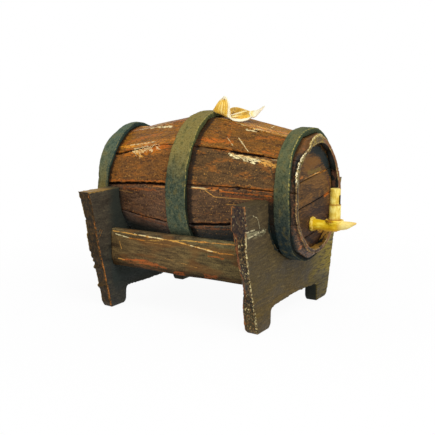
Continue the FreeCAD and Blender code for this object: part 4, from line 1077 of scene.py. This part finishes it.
# %% Stand oak
BOARD_LOOKS = {
    "front_board": {
        "dark": (46, 38, 23), "middle": (71, 59, 35), "light": (98, 82, 48),
        "far_tint": (152, 133, 46), "lower_tint_and_shade": (256, 255, 238),
        "dash": (122, 104, 62), "edge_dark": (27, 24, 19), "edge": (53, 47, 35),
        "edge_patch": (116, 88, 50), "edge_fleck": (226, 204, 140),
        "line_strength": 0.6,
        "front_line": (236, 216, 156), "rear_line": (186, 118, 58), "inner": (40, 32, 22),
        "top": (66, 56, 34)},
    "rear_board": {
        "dark": (46, 41, 34), "middle": (68, 61, 50), "light": (92, 84, 66),
        "far_tint": (60, 56, 40), "lower_tint_and_shade": (194, 205, 213),
        "dash": (92, 82, 58), "edge_dark": (42, 32, 14), "edge": (56, 42, 19),
        "edge_patch": (70, 51, 24), "edge_fleck": (100, 68, 30), "line_strength": 0.3,
        "front_line": (190, 118, 50), "rear_line": (150, 120, 30),
        "inner": (34, 26, 18), "top": (146, 113, 54)},
}


def board_oak(name):
    look = BOARD_LOOKS[name]
    coat = Finish(f"{name}_oak", roughness=0.62, fray=(4, 4, 1.2))
    broad = coat.noise((40, 26, 12), 3, 1, 0.8)
    grain = coat.noise((9, 9, 1.5), 3, 2, 0.3)
    specks = coat.noise(1.1, 3, 3)
    colour = (broad * 0.35 + grain * 0.3 + specks * 0.35).ramp((0.36, look["dark"]),
        (0.5, look["middle"]), (0.66, look["light"]))
    # Towards the bottom: a slight warm tint on the front board, painted shade on the rear board.
    lower = (coat.z + (broad - 0.5) * 30).soft(60, 40)
    colour = colour.glaze(look["lower_tint_and_shade"], lower)
    colour = colour.lay(look["dash"], grain.soft(0.6, 0.7) * 0.25)
    far = (coat.x + (broad - 0.5) * 60).soft(10, 80)
    colour = colour.lay(look["far_tint"], far * grain.soft(0.3, 0.6) * 0.7)
    side = coat.stored("side_gap")
    front = coat.stored("front_gap")
    rear = coat.stored("rear_gap")
    if name == "front_board":
        # Painted shade on the front board's inner face, which faces the cask.
        colour = colour.lay(look["inner"], rear.soft(1.2, 0.4) * 0.85)
        colour = colour.glaze((255, 256, 282), coat.z.soft(62, 76))
        colour = colour.glaze((276, 268, 238), coat.z.soft(36, 22) * coat.x.soft(20, -10))
        colour = colour.glaze((190, 190, 200), coat.z.soft(26, 18) * coat.x.soft(24, 44))
    on_top = coat.stored("top_gap").soft(1, 0.4)
    colour = colour.lay(look["top"], on_top * 0.8)
    patches = coat.noise((3, 3, 5), 3, 5).soft(0.46, 0.56)
    dots = coat.noise((1.4, 1.4, 2.2), 3, 12)
    # The long edge: nearly black, partly dark wood and partly painted shade, with worn patches and cream
    # flecks.
    edge = dots.ramp((0.36, look["edge_dark"]), (0.48, look["edge"]), (0.6, look["edge_patch"]))
    edge = edge.lay(look["edge_patch"], patches * dots.soft(0.44, 0.56) * 0.5)
    edge = edge.glaze((120, 124, 130), patches.soft(0.5, 0.1) * 0.6)
    edge = edge.lay(look["edge_fleck"], coat.noise(1.6, 2, 14).soft(0.62, 0.68) * 0.8)
    if name == "front_board":
        crown = coat.z.soft(74, 80)
        edge = edge.lay((44, 34, 36), crown * 0.7)
        outline = coat.stored("top_gap").soft(1.6, 0.8) + rear.soft(1.3, 0.6) + front.soft(1, 0.5)
        edge = edge.lay((146, 92, 44), outline * crown * patches * 0.7)
        edge = edge.lay((140, 78, 36), rear.soft(4.2, 2.6) * patches * coat.z.soft(82, 76) * 0.7)
        edge = edge.lay((84, 74, 46), coat.z.soft(26, 14) * dots.soft(0.56, 0.46) * 0.5)
        # Painted shade on the inner face of the far foot, under the arch.
        cut = front.soft(0.5, 1.1) * coat.z.soft(20, 17)
        cut = cut * coat.x.soft(20, 30) * side.soft(6, 9)
        colour = colour.lay((20, 27, 24), cut * 0.9)
        corner = coat.streak(coat.x, coat.z, (42.2, 17), (43.8, 1), 0.6, 0.3, 8)
        colour = colour.lay((186, 172, 112), corner * front.soft(0.9, 0.4) * specks.soft(0.38, 0.5) * 0.8)
    colour = colour.lay(edge, side.soft(1, 0.5) * 0.95)
    flecks = coat.noise(1.5, 3, 6).soft(0.5, 0.57)
    near_edge = side.soft(1.7, 0.7)
    below_top = coat.z.soft(82, 72) * 0.8 + 0.2
    colour = colour.lay(look["front_line"], near_edge * front.soft(1.2, 0.6) * flecks * below_top
                        * look["line_strength"])
    line_breaks = coat.noise((6, 6, 9), 2, 7).soft(0.4, 0.54)
    colour = colour.lay(look["rear_line"], side.soft(1.4, 0.6) * rear.soft(1.3, 0.6) * line_breaks * 0.8)
    if name == "front_board":
        # Painted shadow of the front hoop on the front board's face, along the cradle.
        for start, end, width in (((-51, 100.5), (-50.5, 78), 2.6), ((-50.5, 78), (-40, 62), 1.6),
                                  ((-40, 62), (-22, 52.5), 0.9)):
            painted_lee_shade = coat.streak(coat.x, coat.z, start, end, width, 0.3, width)
            colour = colour.lay((16, 28, 27), painted_lee_shade * 0.92)
        half_up = specks.soft(0.38, 0.5)
        on_face = front.soft(1, 0.4)
        worn = coat.streak(coat.x, coat.z, (-84, 79.5), (-58, 78), 3, 0.6, 9)
        colour = colour.lay((124, 118, 88), worn * (grain * 0.6 + specks * 0.4).soft(0.42, 0.54)
                            * on_face)
        for order, (x1, z1, x2, z2, width) in enumerate((
                (-87, 81.8, -74, 82, 0.6), (-86, 77, -60, 79.4, 0.7),
                (-78, 93, -70, 90, 0.3), (-70, 90, -66, 82, 0.3))):
            splinters = coat.streak(coat.x, coat.z, (x1, z1), (x2, z2), width, 0.4, order)
            colour = colour.lay((216, 204, 160), splinters * on_face * half_up * 0.7)
    else:
        shadow = (coat.x + (broad - 0.5) * 12).soft(-72, -58)
        shadow = shadow * coat.z.soft(8, 24)
        colour = colour.lay((38, 46, 42), shadow * side.soft(6, 10) * 0.8)
        for x1, z1, x2, z2 in ((-84.1, 70.1, -79.9, 62.5), (-79.9, 62.5, -76.3, 68),
                               (-82, 65, -78.5, 69)):
            scratch = coat.streak(coat.x, coat.z, (x1, z1), (x2, z2), 0.5, 0.3, 6)
            colour = colour.lay((150, 104, 50), scratch * side.soft(2, 4) * 0.7)
        line = coat.streak(coat.x, coat.z, (-92.4, 99.5), (-65.4, 2), 0.45, 0.4, 2)
        colour = colour.lay(look["front_line"], line * front.soft(2, 1) * line_breaks * 0.8)
    return coat.finish(colour, grain * 0.6 + specks * 0.4, 0.45, broad.soft(0.3, 0.7) * 0.2 + 0.48)


for name, seed in (("front_board", 51), ("rear_board", 71)):
    finish_piece(hew_board(name, seed), "stand", "board_oak", board_oak(name), name)

# %% [markdown]
# ## Rails
# The rails stand on edge between the end boards. A knife has taken a long slice off
# the upper outer arris and a hollow one off the lower, and both cuts shine where the
# stain has rubbed off. The solid already has these bevels; the copy gets the waves of
# a hand-cut face.

# %% Rails
RAIL_OUTER_FACE = 65.0
RAIL_SKIN = 0.7
RUST = (176, 86, 32)
RAIL_STROKES = (
    (61.5, 66.2, -2.7, 63.3, 0.5, PALE_OCHRE, 0.75), (-2.7, 63.3, -39, 58.9, 0.6, PALE_OCHRE, 0.8),
    (-39, 58.9, -62, 59, 0.5, (206, 136, 54), 0.8), (40, 65.4, 12, 64, 0.35, CREAM, 0.7),
    (-14, 61.9, -34, 59.4, 0.35, CREAM, 0.7), (4, 64.2, -18, 65.4, 0.45, (204, 158, 76), 0.7),
    (-18, 65.4, -60, 66.4, 0.5, (214, 146, 62), 0.8), (59, 63.6, 45, 61.7, 0.4, CREAM, 0.7),
    (46, 61.7, 30, 61.2, 0.5, GOLD, 0.7), (30, 61.2, 12, 63, 0.4, (196, 150, 70), 0.6),
    (48, 42.4, 22, 42, 2.2, (140, 84, 38), 0.5), (52, 42.9, 30, 44.6, 0.8, RUST, 0.7),
    (34, 43.6, 18, 42.4, 2.4, RUST, 0.4), (18, 42.4, 8, 40.6, 1, RUST, 0.4),
    (0, 38.4, -7, 37.8, 1.8, RUST, 0.35), (-28, 39.2, -37, 39.8, 2, RUST, 0.35),
    (56, 43.4, 50, 42.8, 0.6, PALE_OCHRE, 0.6), (40, 39.6, 10, 37.4, 1, (118, 78, 44), 0.5),
    (-30, 55.5, -44, 55, 0.7, ORANGE, 0.6), (30, 60, 4, 60, 0.3, PALE_OCHRE, 0.3),
    (10, 49, -20, 45, 0.3, PALE_OCHRE, 0.3), (55, 58, 53, 52, 0.35, PALE_OCHRE, 0.5),
)


def hew_rail(name, seed):
    piece = even_copy(name, f"hewn_{name}", RAIL_SKIN)
    points = points_of(piece)
    moved = points.copy()
    outward = 1 if points[:, 0].mean() > 0 else -1
    inside = ease(np.abs(points[:, 1]), 63, 61)
    wavy = 0.35 * lattice_noise(points, (9, 24, 7), seed)
    grain = 0.1 * lattice_noise(points, (1.2, 16, 1.2), seed + 1)
    moved[:, 0] += outward * inside * (wavy + grain - 0.15)
    upper = ease(points[:, 2], 60, 67)
    moved[:, 2] += inside * upper * 0.35 * lattice_noise(points, (9, 11, 9), seed + 2)
    lower = ease(points[:, 2], 42, 37)
    moved[:, 2] += inside * lower * 0.35 * lattice_noise(points, (9, 13, 9), seed + 3)
    store(piece, outer_gap=RAIL_OUTER_FACE - np.abs(points[:, 0]))
    put_points(piece, moved)
    return piece


def rail_oak():
    coat = Finish("rail_oak", roughness=0.6, fray=(1.2, 7, 1.2))
    broad = coat.noise((16, 44, 9), 3, 1, 0.7)
    grain = coat.noise((2, 9, 1.5), 3, 2, 0.3)
    specks = coat.noise(1.1, 3, 3)
    colour = (broad * 0.3 + grain * 0.4 + specks * 0.3).ramp((0.38, (54, 41, 25)), (0.5, (88, 70, 42)),
        (0.62, (120, 97, 58)))
    facet = coat.z.soft(62.5, 64.5)
    colour = colour.glaze((248, 260, 278), facet)
    colour = colour.glaze((276, 290, 286), coat.y.soft(10, -40))
    colour = colour.lay((108, 68, 30), coat.noise((9, 30, 9), 2, 8).soft(0.5, 0.65) * 0.5)
    colour = colour.glaze((150, 140, 130), coat.z.soft(44, 38))
    inner = coat.stored("outer_gap").soft(5.4, 6)
    colour = colour.glaze((120, 108, 100), inner)
    bare = (grain * 0.5 + specks * 0.5).soft(0.34, 0.5) * abs(coat.x).soft(60.5, 62)
    colour = coat.strokes(colour, coat.y, coat.z, RAIL_STROKES, 1.9, lambda width, tint: 0.7,
                          lambda stroke, width: stroke * bare)
    return coat.finish(colour, grain * 0.6 + specks * 0.3, 0.45)


oak_for_rails = rail_oak()
for name, seed in (("left_rail", 91), ("right_rail", 101)):
    finish_piece(hew_rail(name, seed), "stand", "rail_oak", oak_for_rails, name)

# %% [markdown]
# ## Tap, key and caulking
# The tap is whittled from pale, oily wood and stuck into the head with a collar of
# caulking. Knife facets run along it. It keeps the places of its bore, cup and key, so
# the key still turns.

# %% Tap, key and caulking
HEAD_FACE = -87.5
TAP_WOOD = {
    "tap_body": ((176, 124, 4), (224, 182, 24), (248, 224, 82)),
    "tap_key": ((180, 136, 34), (215, 185, 74), (242, 226, 132)),
    "tap_seal": ((150, 108, 20), (210, 172, 52), (246, 230, 140)),
}


def whittle(name, face_size, seed, depth):
    piece = even_copy(name, f"whittled_{name}", face_size)
    points = points_of(piece)
    moved = points.copy()
    facet_size = (2.6, 6, 2.6) if name == "tap_body" else (2.4, 2.4, 6)
    for axis in range(3):
        facets = lattice_noise(points, facet_size, seed + axis)
        fine = lattice_noise(points, 0.8, seed + 4 + axis)
        moved[:, axis] += depth * (facets + 0.3 * fine)
    store(piece, from_head=HEAD_FACE - points[:, 1])
    put_points(piece, moved, smooth_angle=40)
    print(name, "kept within", np.round(np.abs(moved - points).max(), 2), "mm")
    return piece


def tap_wood(name):
    dark, middle, light = TAP_WOOD[name]
    coat = Finish(f"{name}_wood", roughness=0.45)
    blotch = coat.noise((3, 7, 4), 3, 1)
    grain = coat.noise((0.9, 7, 0.9) if name == "tap_body" else (0.9, 0.9, 6), 3, 2)
    colour = (blotch * 0.55 + grain * 0.45).ramp((0.3, dark), (0.46, middle), (0.66, light))
    if name == "tap_body":
        # Painted shade on the underside of the tap body.
        under = coat.z.soft(77, 73)
        colour = colour.glaze((226, 190, 112), under * 0.6)
        beak = coat.stored("from_head").soft(22, 28)
        colour = colour.lay((238, 224, 160), beak * 0.6)
        lip = coat.streak(coat.y, coat.z, (-101, 80.6), (-107, 80.4), 1.2, 0.7, 3)
        colour = colour.lay((168, 98, 40), lip * 0.75)
        tip = coat.stored("from_head").soft(33, 37.5)
        colour = colour.lay((214, 164, 70), tip * 0.6)
    elif name == "tap_key":
        foot = coat.z.soft(84, 81)
        colour = colour.lay((190, 128, 52), foot * 0.7)
        ring = coat.streak(coat.z, coat.x * 0, (93.6, 0), (94, 0), 0.8, 0.3, 5)
        colour = colour.glaze((180, 140, 84), ring * 0.8)
        slot = abs(coat.z - 97.7).soft(4, 3.3) * abs(coat.x).soft(2, 1.5)
        colour = colour.lay((46, 30, 18), slot * 0.9)
    return coat.finish(colour, grain * 0.7 + blotch * 0.3, 0.3)


for name, body, slot_name, face_size, depth in (
        ("tap_body", "cask", "tap_wood", 0.34, 0.16), ("tap_key", "key", "tap_wood", 0.3, 0.09),
        ("tap_seal", "cask", "caulking", 0.26, 0.65)):
    finish_piece(whittle(name, face_size, 111, depth), body, slot_name, tap_wood(name), name)

# %% [markdown]
# ## Strip of cloth on the bung
# A stiff, pale strip is folded over the bung: it stands up behind it, dips, lies across
# the hole and ends in a point. It is a grid of faces, bent over rows of control points
# across the strip. A smooth curve is laid through the rows, and Solidify and a
# subdivision give it the rounded edge of thick cloth.

# %% Cloth strip
# rows along the strip: points on its front edge, its middle and its rear edge, in mm
CLOTH_ROWS = (
    ((-9.5, -13.7, 175.7), (-10.5, -12.4, 176.6), (-12, -11.4, 175.3)),
    ((-9.5, -15.6, 172.5), (-11, -11.7, 172.5), (-13, -8.2, 172)),
    ((-9.5, -16.9, 168.9), (-11.8, -11.3, 168), (-13.5, -5.4, 167.9)),
    ((-9.5, -16.7, 164.9), (-11.8, -10.9, 164), (-13.5, -3.5, 164.7)),
    ((-9.5, -16.1, 161.4), (-10.6, -11.4, 161.3), (-11, -7.2, 162.7)),
    ((-11, -17.4, 158.8), (-8, -13.2, 160.2), (-5, -9.4, 163.3)),
    ((-15, -21.7, 157.5), (-5.5, -15.8, 160.7), (-1, -13.7, 167)),
    ((-15.8, -26.3, 156.7), (-5.5, -21, 160.4), (-1, -17.9, 167.4)),
    ((-12.3, -29.8, 156.5), (-5.5, -26.1, 160.5), (-1, -23.1, 166.7)),
    ((-8, -33, 157.5), (-5.5, -30.7, 161), (-1, -27.7, 165.3)),
    ((-7.5, -36.3, 159.7), (-5.5, -33.9, 162.2), (-1.5, -31.3, 164.3)),
    ((-8, -38, 159.6), (-6, -36.9, 162.4), (-3, -35.2, 165)),
    ((-7.6, -40.2, 161), (-6, -39.1, 163.2), (-4.6, -38.2, 165.6)),
    ((-6.8, -43, 164.3), (-6, -42.6, 165.5), (-5.3, -42.2, 166.6)),
    ((-6.1, -46.7, 168.9), (-6, -46.7, 169), (-5.9, -46.7, 169.1)),
)
CLOTH_THICKNESS = 1.2
CLOTH_RIBS = 38
# the strip as it is drawn when its marks are placed: length and width in mm
CLOTH_DRAWN = (60, 12)
CLOTH_LENGTH_STEPS, CLOTH_WIDTH_STEPS = 88, 14


def through(stations, steps):
    """A smooth curve (Catmull-Rom) through the stations, `steps` + 1 points on it."""
    stations = np.asarray(stations, dtype=float)
    padded = np.concatenate([[2 * stations[0] - stations[1]], stations,
                             [2 * stations[-1] - stations[-2]]])
    place = np.linspace(0, len(stations) - 1, steps + 1)
    span = np.minimum(place.astype(int), len(stations) - 2)
    t = (place - span).reshape(-1, *([1] * (stations.ndim - 1)))
    a, b, c, d = (padded[span + shift] for shift in range(4))
    return 0.5 * (2 * b + (c - a) * t + (2 * a - 5 * b + 4 * c - d) * t ** 2
                  + (3 * b - 3 * c + d - a) * t ** 3)


def fold_the_cloth():
    rows = through(CLOTH_ROWS, CLOTH_LENGTH_STEPS)
    grid = np.swapaxes(through(np.swapaxes(rows, 0, 1), CLOTH_WIDTH_STEPS), 0, 1)
    bpy.ops.object.select_all(action="DESELECT")
    bpy.ops.mesh.primitive_grid_add(x_subdivisions=CLOTH_WIDTH_STEPS,
                                    y_subdivisions=CLOTH_LENGTH_STEPS, size=0.02)
    cloth = bpy.context.object
    cloth.name = cloth.data.name = "folded_cloth"
    long, wide = np.meshgrid(np.linspace(0, 1, CLOTH_LENGTH_STEPS + 1),
                             np.linspace(0, 1, CLOTH_WIDTH_STEPS + 1), indexing="ij")
    places = grid.reshape(-1, 3)
    steps = np.stack([long.ravel() * CLOTH_DRAWN[0], wide.ravel() * CLOTH_DRAWN[1], long.ravel() * 0],
                     axis=1)
    cross_grid = grid[:, -1] - grid[:, 0]
    on_flap = ease(long.ravel(), 0.34, 0.26)
    ribs = ((0.08 + 0.2 * on_flap) * np.sin(wide.ravel() * CLOTH_RIBS)
            + 0.3 * lattice_noise(steps, 3.2, 131))
    lift = np.repeat(np.cross(np.gradient(grid[:, CLOTH_WIDTH_STEPS // 2], axis=0), cross_grid),
                     CLOTH_WIDTH_STEPS + 1, axis=0)
    lift /= np.linalg.norm(lift, axis=1, keepdims=True)
    places = places + lift * ribs[:, None]
    store(cloth, down_the_strip=long.ravel(), across_the_strip=wide.ravel())
    put_points(cloth, places, smooth_angle=60)
    area = sum(face.area for face in cloth.data.polygons)
    middle = grid[:, CLOTH_WIDTH_STEPS // 2]
    length = np.linalg.norm(np.diff(middle, axis=0), axis=1).sum() * MM
    width = np.linalg.norm(grid[:, -1] - grid[:, 0], axis=1).max() * MM * 1.05
    for kind, label, settings in (
            ("SOLIDIFY", "wall", {"thickness": CLOTH_THICKNESS * MM, "offset": 0,
                                  "use_rim": True}),
            ("SUBSURF", "soft_edge", {"levels": 1, "render_levels": 1})):
        modifier = cloth.modifiers.new(label, kind)
        for key, setting in settings.items():
            setattr(modifier, key, setting)
        bpy.ops.object.modifier_apply(modifier=modifier.name)
    print("cloth: length", round(length / MM, 1), "width", round(width / MM, 1),
          "area", round(area * 1e6), "mm2")
    return cloth, width, length, area


def cloth_finish():
    coat = Finish("folded_cloth", roughness=0.8)
    coat.shader.inputs["Sheen Weight"].default_value = 0.15
    down = coat.stored("down_the_strip")
    across = coat.stored("across_the_strip")
    blotch = coat.noise((5, 5, 5), 3, 1)
    weave = coat.noise((1.1, 1.1, 3), 2, 2)
    colour = (blotch * 0.5 + weave * 0.5).ramp((0.38, (214, 158, 36)), (0.48, (234, 196, 84)),
        (0.6, (250, 236, 164)))
    ribs = (across * CLOTH_RIBS).sum_with("SINE", 0)
    flap = down.soft(0.34, 0.26)
    colour = colour.lay((232, 186, 58), flap * down.soft(0.03, 0.12) * 0.5)
    colour = colour.lay((190, 130, 26), ribs.soft(0.1, -0.9) * flap * 0.6)
    bits = weave.soft(0.46, 0.38) * down.soft(0.1, 0.24) * flap
    colour = colour.lay((176, 96, 20), bits * 0.6)
    # Painted shade inside the cup of the strip.
    cup_shade = down.soft(0.36, 0.41) * down.soft(0.74, 0.64)
    colour = colour.lay((164, 118, 32), cup_shade * across.soft(0.42, 0.6) * weave.soft(0.3, 0.5) * 0.85)

    def mark(*stroke):
        return coat.streak(down * CLOTH_DRAWN[0], across * CLOTH_DRAWN[1], *stroke)

    # Painted shade in the deepest pocket of the cup.
    colour = colour.lay((112, 66, 20), mark((25.8, 4.8), (27.6, 7.6), 1.5, 0.6, 2) * 0.8)
    # A fold inside the cup that has no shape of its own, drawn as painted light and shade: pale
    # highlights along its ridge, gold and dark brown beside it.
    for start, end, width, tint in (
            ((26, 6.2), (33, 8.4), 0.55, (250, 240, 196)),
            ((33, 8.4), (39, 10.6), 0.7, (244, 226, 160)),
            ((30, 4.6), (39, 5.4), 0.8, (222, 168, 50)),
            ((41.5, 5), (43, 5.4), 0.8, (120, 74, 26))):
        fold_light_and_shade = mark(start, end, width, 0.4, width * 9)
        colour = colour.lay(tint, fold_light_and_shade * 0.85)
    for places in (((24.3, -0.5), (24.8, 5), (24, 12.5)), ((44, -0.5), (42.6, 6), (43.4, 12.5))):
        for start, end in zip(places, places[1:]):
            arm = mark(start, end, 0.85, 0.3, start[0])
            colour = colour.lay((250, 246, 218), arm * 0.9)
    tip = down.soft(0.07, 0.02)
    colour = colour.lay((232, 232, 212), tip * 0.8)
    for at, side in ((0.8, 9), (2.6, 5)):
        spot = mark((at, side), (at + 0.8, side), 0.8, 0.4, at)
        colour = colour.lay((70, 56, 40), spot * 0.85)
    in_cup = down.soft(0.41, 0.46)
    rim = (across - in_cup * 0.06).soft(0.16, 0.08) * down.soft(0.82, 0.76)
    colour = colour.lay((240, 234, 206), rim * 0.95)
    tail = down.soft(0.74, 0.84)
    colour = colour.lay((248, 242, 218), tail * 0.85)
    far_rim = across.soft(0.93, 0.98) * weave.soft(0.4, 0.5)
    colour = colour.lay((240, 220, 150), far_rim * 0.7)
    return coat.finish(colour, weave * 0.6 + ribs * 0.15, 0.25)


cloth, cloth_width, cloth_length, cloth_area = fold_the_cloth()
finish_piece(cloth, "bung", "bung_cloth", cloth_finish(), "bung_cloth")


# %% [markdown]
# ## Bung plug
# The plug shows only when it is pulled. Its solid is right, so it gets a finish: pale
# end grain with darker rings, and a brown band where it has sat in the oily hole.

# %% Bung plug
def plug_wood():
    coat = Finish("plug_wood", roughness=0.6)
    rings = coat.noise((1.2, 1.2, 9), 3, 1, 0.8)
    colour = rings.ramp((0.36, (122, 82, 42)), (0.52, (176, 128, 70)), (0.66, (208, 166, 104)))
    colour = colour.glaze((130, 90, 60), coat.z.soft(156, 152) * 0.8)
    return coat.finish(colour, rings, 0.3)


dress(nodes["bung_plug"], plug_wood())

# %% [markdown]
# ## Splinters
# Where the wood has torn, loose fibres curl out of it. Each is a thin tapered thread,
# swept through a few points over the surface. They are joined into one piece, which
# rides on the cask.

# %% Splinters
# (along, angle, lift in mm) of the points of each fibre
SPLINTER_PATHS = (
    ((38, 36, -0.2), (36, 38.5, 0.9), (32, 38.8, 1.2), (29, 36.6, 0.8), (30, 34, 0.2)),
    ((44, 36.6, -0.2), (41, 35, 0.8), (38, 36.4, 1.1), (36, 34.2, 0.5)),
    ((46, 37.6, -0.2), (43, 38.6, 0.8), (40, 38.8, 1), (38.6, 36.2, 0.9), (40, 33, 0.2)),
    ((42, 36, -0.2), (38, 37.6, 0.9), (35, 36.6, 0.9), (34, 33.6, 0.3)),
    ((36, 37.4, -0.2), (33, 39.4, 0.7), (29, 39.6, 0.8), (26, 37.6, 0.2)),
    ((50, 35.2, -0.2), (47, 33, 0.9), (45.5, 30.4, 1), (46, 28.2, 0.3)),
    ((56, 35.2, -0.2), (53, 33.8, 0.8), (51, 31.6, 0.7), (50, 30.2, 0.2)),
    ((-38, 54.8, -0.2), (-43, 50, 0.5), (-48, 44.6, 0.6), (-51, 41.6, 0.1)),
    ((-47, 36.2, -0.2), (-52, 35.6, 0.7), (-57, 34.6, 0.9), (-61, 33.6, 0.3)),
    ((-40, 36.4, -0.2), (-45, 35.4, 0.6), (-50, 33.6, 0.8), (-54, 33, 0.2)),
    ((-44, 66.4, -0.2), (-48, 67.6, 0.5), (-53, 67, 0.2)),
    ((20, 80, 0.1), (21, 84, 2.2), (19.6, 88, 3.2)),
    ((22, 82, 0.1), (24, 86, 1.6), (27, 88, 1.9)),
    ((-53, 84, 0.1), (-54, 88, 1.4), (-56, 90, 1.7)),
)
SPLINTER_RADIUS = 0.24


def splinter(path, number):
    along, angle, lift = np.array(path).T
    flat = outer_flat(along)
    middle = (np.floor((angle - FIRST_SEAM) / STAVE_ANGLE) + 0.5) * STAVE_ANGLE + FIRST_SEAM
    radius = flat / np.cos(np.radians(angle - middle)) + lift
    line = through(from_round(angle, radius, along), 14)
    data = bpy.data.curves.new(f"splinter_{number}", "CURVE")
    data.dimensions = "3D"
    data.bevel_depth, data.bevel_resolution = SPLINTER_RADIUS * MM, 1
    data.use_fill_caps = True
    spline = data.splines.new("POLY")
    spline.points.add(len(line) - 1)
    for step, (point, place) in enumerate(zip(spline.points, line)):
        x, y, z = place * MM
        point.co = (x, y + STAND_MIDDLE_Y, z, 1)
        point.radius = 1.15 - 0.9 * step / (len(line) - 1)
    return add_object(data.name, data)


def gather_splinters():
    threads = [splinter(path, number) for number, path in enumerate(SPLINTER_PATHS)]
    select_only(*threads)
    bpy.ops.object.convert(target="MESH")
    bpy.ops.object.join()
    fibres = bpy.context.object
    fibres.name = fibres.data.name = "splinters"
    return fibres


def splinter_wood():
    coat = Finish("splinter_wood", roughness=0.7)
    colour = coat.noise(1.5, 2, 1).ramp((0.4, (206, 160, 92)), (0.6, (240, 226, 176)))
    return coat.finish(colour)


fibres = gather_splinters()
dress(fibres, splinter_wood())
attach(fibres, "cask")
print("splinters:", len(fibres.data.polygons), "faces")

# %% [markdown]
# ## The end of the bench
# The worn pieces are meant to stay the size of the solids, so both boxes are printed
# here.

# %% Sizes of the solids and the worn pieces
size_log["visual_box"] = [list(corner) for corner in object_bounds()]
for label, corners in size_log.items():
    print(label, [[round(part / MM, 1) for part in corner] for corner in corners])
